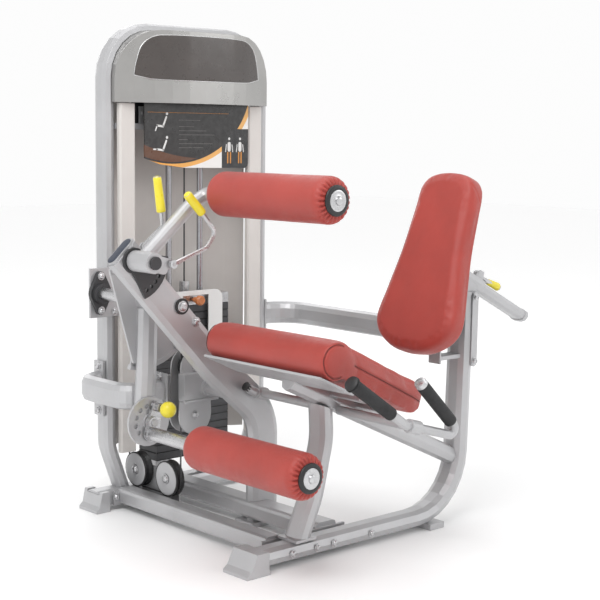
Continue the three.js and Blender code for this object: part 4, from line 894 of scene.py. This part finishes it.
near_y, far_y = SEAT_Y - HANDLE_OUT, SEAT_Y + HANDLE_OUT
grip("foam_low_near", "grip_low_near", at_y(FRONT, near_y), at_y(on_line(FRONT, KNEE, 0.74), near_y), True)
handle_plug("handle_plug_near", FRONT, near_y, 20.2)
handle_plug("handle_plug_far", FAR_START, far_y, 14.0)
upper_end("near", near_y)
upper_end("far", far_y)


# Yellow sleeves on the three levers, and the ball knob of the range plunger.

def sleeve(name, start, end, r0, r1, body, flat=None):
    """A moulded grip over a lever's end, r0 thick at its start and r1 at its end; flat narrows it in Y."""
    start, end = Vector(start), Vector(end)
    length = (end - start).length
    rows = [(-1, r0 * 0.72), (0, r0 * 0.92), (3, r0)]
    rows += [(3 + (length - 9) * k / 10, r0 + (r1 - r0) * k / 10) for k in range(1, 11)]
    rows += [(length - 3, r1 * 0.93), (length, r1 * 0.72), (length + 1.5, r1 * 0.4), (length + 2, 0.4)]
    made = turned(name, start, end - start, rows, body, "yellow", count=26)
    if flat:
        middle = start.y * MM
        for vertex in made.data.vertices:
            vertex.co.y = middle + (vertex.co.y - middle) * flat


sleeve("pull_lever_grip", (-494, 60, 944), (-508.5, 60, 1041), 13.2, 11.6, "pull_lever")
sleeve("release_lever_grip", (-450, -66, 945), (-503, -66, 999), 12.6, 12.2, "release_lever")


SLIDE_POINT = (367, 739)
SLIDE_SLOPE = 0.46


def along_slide(s, h):
    """A point s down the backrest's slide tube and h square to it."""
    x = SLIDE_POINT[0] + s * math.cos(SLIDE_SLOPE) + h * math.sin(SLIDE_SLOPE)
    z = SLIDE_POINT[1] - s * math.sin(SLIDE_SLOPE) + h * math.cos(SLIDE_SLOPE)
    return x, SEAT_Y, z


sleeve("lock_lever_grip", along_slide(112, 33), along_slide(170, 38), 9.4, 13.0, "lock_lever", flat=0.8)

# the plunger stands off the crank's shaft, at an angle from the vertical
CRANK, PLUNGER_OUT, PLUNGER_ANGLE = (-457, 334), 46, 0.35
KNOB = (
    CRANK[0] + PLUNGER_OUT * math.sin(PLUNGER_ANGLE),
    CRANK[1] + PLUNGER_OUT * math.cos(PLUNGER_ANGLE),
)
KNOB_RADIUS = 23.5


def on_plunger(name, y, profile, slot, count):
    turned(name, at_y(KNOB, y), (0, 1, 0), profile, "plunger", slot, count=count)


ball = [(-KNOB_RADIUS * math.cos(a), max(0.3, KNOB_RADIUS * math.sin(a)))
        for a in [math.pi * k / 18 for k in range(17)]]
on_plunger("plunger_knob", 100, ball + [(24, 8.2), (25, 7.4)], "yellow", 36)
on_plunger("plunger_collar", 124, [(1, 6.3), (1.2, 8.4), (5.6, 8.4), (6.2, 7.6), (6.4, 6.3)], "steel", 24)
on_plunger("plunger_shank", 130, [(0, 5.95), (38, 5.95), (39.6, 4.6)], "steel", 20)


# Side discs of the pulleys, round their hubs.

def pulley_face(name, body, at, direction, radius, hole):
    """The dished disc on a pulley's side, round its hub."""
    rows = [(0.1, hole), (1.3, hole), (1.5, hole + 1), (1.1, hole + 7), (0.7, radius * 0.55),
            (1.2, radius * 0.86), (1.5, radius - 1.0), (1.0, radius), (0.1, radius)]
    turned(name, at, direction, rows, body, "paint", count=56)


for which, y in (("far", 446), ("near", 287)):
    pulley_face(f"base_face_{which}", f"base_pulley_{which}", (-309.3, y, 118), (-1, 0, 0), 50.5, 15.6)
for which, z in (("lower", 323), ("upper", 467)):
    pulley_face(f"bracket_face_{which}", f"bracket_pulley_{which}", (-261.5, 216.8, z), (0, -1, 0), 31, 13.5)


# The cable between the arm and the lower bracket pulley.

low, high = Vector((-295, 231, 430)), Vector((-295, 231, 520))
cam_run = hose("cam_cable_run", [low.lerp(high, i / 12) for i in range(13)], 2.4, None, "cable")
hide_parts("cam_cable")
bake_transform(cam_run)


# The flat oval plug in the upper end of the main post, with the rim of the tube round it.

POST_END = Vector((-632, 63, 843))
POST_RUN, POST_ACROSS = Vector((-0.678, 0, 0.735)), Vector((0.735, 0, 0.678))
POST_WIDE, POST_DEEP = 18.6, 48.6  # half of the plug, in Y and across the run


def oval_ring(out, inset, count):
    """An oval round the post's end, at a distance out of it and an inset from the tube."""
    ring = []
    for k in range(count):
        angle = 2 * math.pi * k / count
        straight = POST_DEEP - POST_WIDE if math.sin(angle) > 0 else POST_WIDE - POST_DEEP
        round_y = (POST_WIDE - inset) * math.cos(angle)
        long_way = (POST_WIDE - inset) * math.sin(angle) + straight
        ring.append(POST_END + POST_RUN * out + Vector((0, round_y, 0)) + POST_ACROSS * long_way)
    return ring


def make_post_plug():
    vertices, faces, count = [], [], 40
    rows = [(-6, 3.4), (0.6, 3.4), (1.8, 4.2), (2.4, 6.5), (2.6, 12), (2.6, 18)]
    for out, inset in rows:
        vertices += oval_ring(out, inset, count)
    for row in range(len(rows) - 1):
        for k in range(count):
            a, b = row * count + k, row * count + (k + 1) % count
            faces.append((a, b, b + count, a + count))
    faces.append(tuple((len(rows) - 1) * count + k for k in range(count)))
    look = moulded("post_plug", (0.035, 0.042, 0.062), rough=0.42)
    add_piece("post_end_plug", vertices, faces, "frame", "black", look)


make_post_plug()


# Header badge: an arched plate that lies on the bowed header panel. It carries no lettering.

def laid_on(node, x, z, lift):
    """The point on the front of a node behind (x, z), lifted towards the front."""
    surface = frame["nodes"][node].data
    if node not in laid_on.trees:
        laid_on.trees[node] = BVHTree.FromPolygons(
            [v.co for v in surface.vertices], [tuple(p.vertices) for p in surface.polygons]
        )
    hit = laid_on.trees[node].ray_cast(Vector((x, 0, z)) * MM, Vector((0, 1, 0)), 1.0)[0]
    return Vector((x, (hit.y / MM if hit else 440.0) - lift, z))


laid_on.trees = {}


def make_badge():
    low, high = box_mm("header_badge")
    left, right, bottom, top = low.x + 1, high.x - 1, low.z + 2, high.z - 2
    corners = [
        (left, bottom + 12), (left + 6, bottom + 48), (left + 24, top - 34), (left + 62, top - 6),
        (left + 120, top), ((left + right) / 2, top + 1), (right - 120, top), (right - 62, top - 6),
        (right - 24, top - 34), (right - 6, bottom + 48), (right, bottom + 12),
    ]
    edge = smooth_loop([(x, z, 0) for x, z in corners], 6, closed=False)
    base = [(right - 50, bottom + 2), (right - 130, bottom), (left + 130, bottom), (left + 50, bottom + 2)]
    edge += smooth_loop([(x, z, 0) for x, z in base], 5, closed=False)
    centre = Vector(((left + right) / 2, (bottom + top) / 2, 0))
    vertices, faces, n = [], [], len(edge)
    rows = [(1.0, 0.2), (1.0, 2.6), (0.992, 3.4), (0.97, 3.5)]
    rows += [(0.97 - 0.97 * k / 12, 3.5) for k in range(1, 12)]
    for share, lift in rows:
        for point in edge:
            at = centre.lerp(point, share)
            vertices.append(laid_on("header_panel", at.x, at.y, lift))
    for row in range(len(rows) - 1):
        for i in range(n):
            a, b = row * n + i, row * n + (i + 1) % n
            faces.append((a, b, b + n, a + n))
    faces.append(tuple((len(rows) - 1) * n + i for i in range(n)))
    badge = add_piece("badge_plate", vertices, faces, "frame", "badge")
    sharpen(badge)
    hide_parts("header_badge")
    rim = [laid_on("header_panel", *centre.lerp(p, 1.008).to_2d(), 1.2) for p in edge]
    hose("badge_rim", rim, 1.7, "frame", "satin", bare_metal("bright_rim", (0.7, 0.7, 0.7)), 8, closed=True)


make_badge()


# Instruction placard: a dark card with a generic orange sweep. No words are drawn on it.

CARD_LOW, CARD_HIGH = box_mm("placard")


def card_finish():
    """The placard's print: a dark field inside a round orange band, with a dark window low down."""
    g = Graph("placard_card", roughness=0.3, Coat_Weight=0.3, Coat_Roughness=0.15)
    split = g.add("ShaderNodeSeparateXYZ")
    g.link(g.place, split.inputs[0])
    width, height = (CARD_HIGH.x - CARD_LOW.x) * MM, (CARD_HIGH.z - CARD_LOW.z) * MM
    u = g.math("DIVIDE", g.math("SUBTRACT", split.outputs["X"], CARD_LOW.x * MM), width)
    v = g.math("DIVIDE", g.math("SUBTRACT", split.outputs["Z"], CARD_LOW.z * MM), height)
    across = g.math("POWER", g.math("DIVIDE", g.math("SUBTRACT", u, 0.27), 0.75), 2.0)
    up = g.math("POWER", g.math("SUBTRACT", 1.062, v), 2.0)
    reach = g.math("SQRT", g.math("ADD", across, up))
    low_arc = g.math("ADD", g.math("MULTIPLY", u, -0.6), g.math("MULTIPLY", g.math("MULTIPLY", u, u), 0.55))
    brown = g.math("LESS_THAN", v, g.math("ADD", low_arc, 0.293))
    inside = g.mix(brown, (0.010, 0.009, 0.009), (0.105, 0.036, 0.012))
    inside = g.mix(g.math("GREATER_THAN", reach, 0.978), inside, (0.010, 0.009, 0.009))
    band = g.mix(g.ramp(u, 0.1, 0.8), (0.80, 0.36, 0.06), (0.78, 0.42, 0.12))
    colour = g.mix(g.math("GREATER_THAN", reach, 1.0), inside, band)
    colour = g.mix(g.math("GREATER_THAN", reach, 1.052), colour, (0.80, 0.79, 0.77))
    box_u = g.math("GREATER_THAN", u, 0.735)
    box_v = g.math("LESS_THAN", v, 0.50)
    outside = g.math("GREATER_THAN", reach, 0.97)
    window = g.math("MULTIPLY", g.math("MULTIPLY", box_u, box_v), outside)
    colour = g.mix(window, colour, (0.012, 0.012, 0.013))
    dust = g.ramp(g.noise(60.0, 4.0), 0.35, 0.7, 0.0, 0.05)
    g.colour(g.mix(dust, colour, (0.5, 0.5, 0.5)))
    g.rough(g.ramp(g.noise(22.0, 4.0), 0.3, 0.7, 0.24, 0.38))
    g.bump(g.noise(240.0, 2.0), 0.00008, 0.4)
    return g.material


card = card_finish()
for material_slot in frame["nodes"]["placard"].material_slots:
    material_slot.material = card


def on_card(u, v):
    """The point of the card's face, in X and Z, a share u across and v up."""
    size = CARD_HIGH - CARD_LOW
    return Vector((CARD_LOW.x + u * size.x, CARD_LOW.z + v * size.z))


def strokes(name, lines, look, lift):
    """Flat strokes printed on the card: (u, v) to (u, v), with a width in millimetres."""
    vertices, faces = [], []
    for (u0, v0), (u1, v1), thick in lines:
        a, b = on_card(u0, v0), on_card(u1, v1)
        run = (b - a).normalized()
        side = Vector((-run.y, run.x)) * thick / 2
        rim = []
        for end, sign in ((a, -1), (b, 1)):
            for k in range(7):
                angle = -math.pi / 2 + math.pi * k / 6
                out = run * math.cos(angle) * sign * thick / 2 + side * math.sin(angle) * sign
                rim.append(end + out)
        start = len(vertices)
        for depth in (lift, -0.1):
            vertices += [Vector((p.x, CARD_LOW.y - depth, p.y)) for p in rim]
        n = len(rim)
        faces.append(tuple(range(start, start + n)))
        faces.append(tuple(range(start + n, start + 2 * n)))
        for k in range(n):
            a, b = start + k, start + (k + 1) % n
            faces.append((a, b, b + n, a + n))
    return add_piece(name, vertices, faces, "frame", "badge", look, smooth=False)


white_ink = moulded("white_ink", (0.72, 0.72, 0.71), rough=0.35, mottle=0.03)
amber_ink = moulded("amber_ink", (0.62, 0.26, 0.05), rough=0.35, mottle=0.05)
grey_ink = moulded("grey_ink", (0.16, 0.155, 0.15), rough=0.4, mottle=0.08)

icon = []
for u, v, lift_leg in ((0.15, 0.53, 0.0), (0.15, 0.24, 0.06)):
    icon += [((u - 0.035, v), (u + 0.02, v - 0.012), 6.5), ((u + 0.022, v), (u + 0.05, v + 0.105), 6.5),
             ((u - 0.035, v), (u - 0.05 - lift_leg * 0.3, v - 0.06 + lift_leg), 4.5),
             ((u + 0.056, v + 0.145), (u + 0.0565, v + 0.1455), 9.0)]
strokes("placard_pictograms", icon, white_ink, 0.35)
rules = [((0.03, 0.69), (0.80, 0.69), 1.1)]
rules += [((u, 0.07), (u, 0.20), 5.0) for u in (0.795, 0.822, 0.905, 0.93)]
strokes("placard_rules", rules, amber_ink, 0.3)
figures = []
for u in (0.8085, 0.9175):
    figures += [((u, 0.235), (u, 0.31), 13.0), ((u, 0.375), (u, 0.3755), 8.5),
                ((u - 0.028, 0.30), (u - 0.036, 0.21), 3.2), ((u + 0.028, 0.30), (u + 0.036, 0.21), 3.2)]
strokes("placard_figures", figures, white_ink, 0.3)
lines = [((0.32, v), (end, v), 1.6) for v, end in (
    (0.60, 0.52), (0.52, 0.46), (0.47, 0.58), (0.42, 0.66), (0.36, 0.40), (0.31, 0.64), (0.26, 0.55),
)]
strokes("placard_lines", lines, grey_ink, 0.25)


def corners(bounds):
    return [[round(value, 5) for value in corner] for corner in bounds]
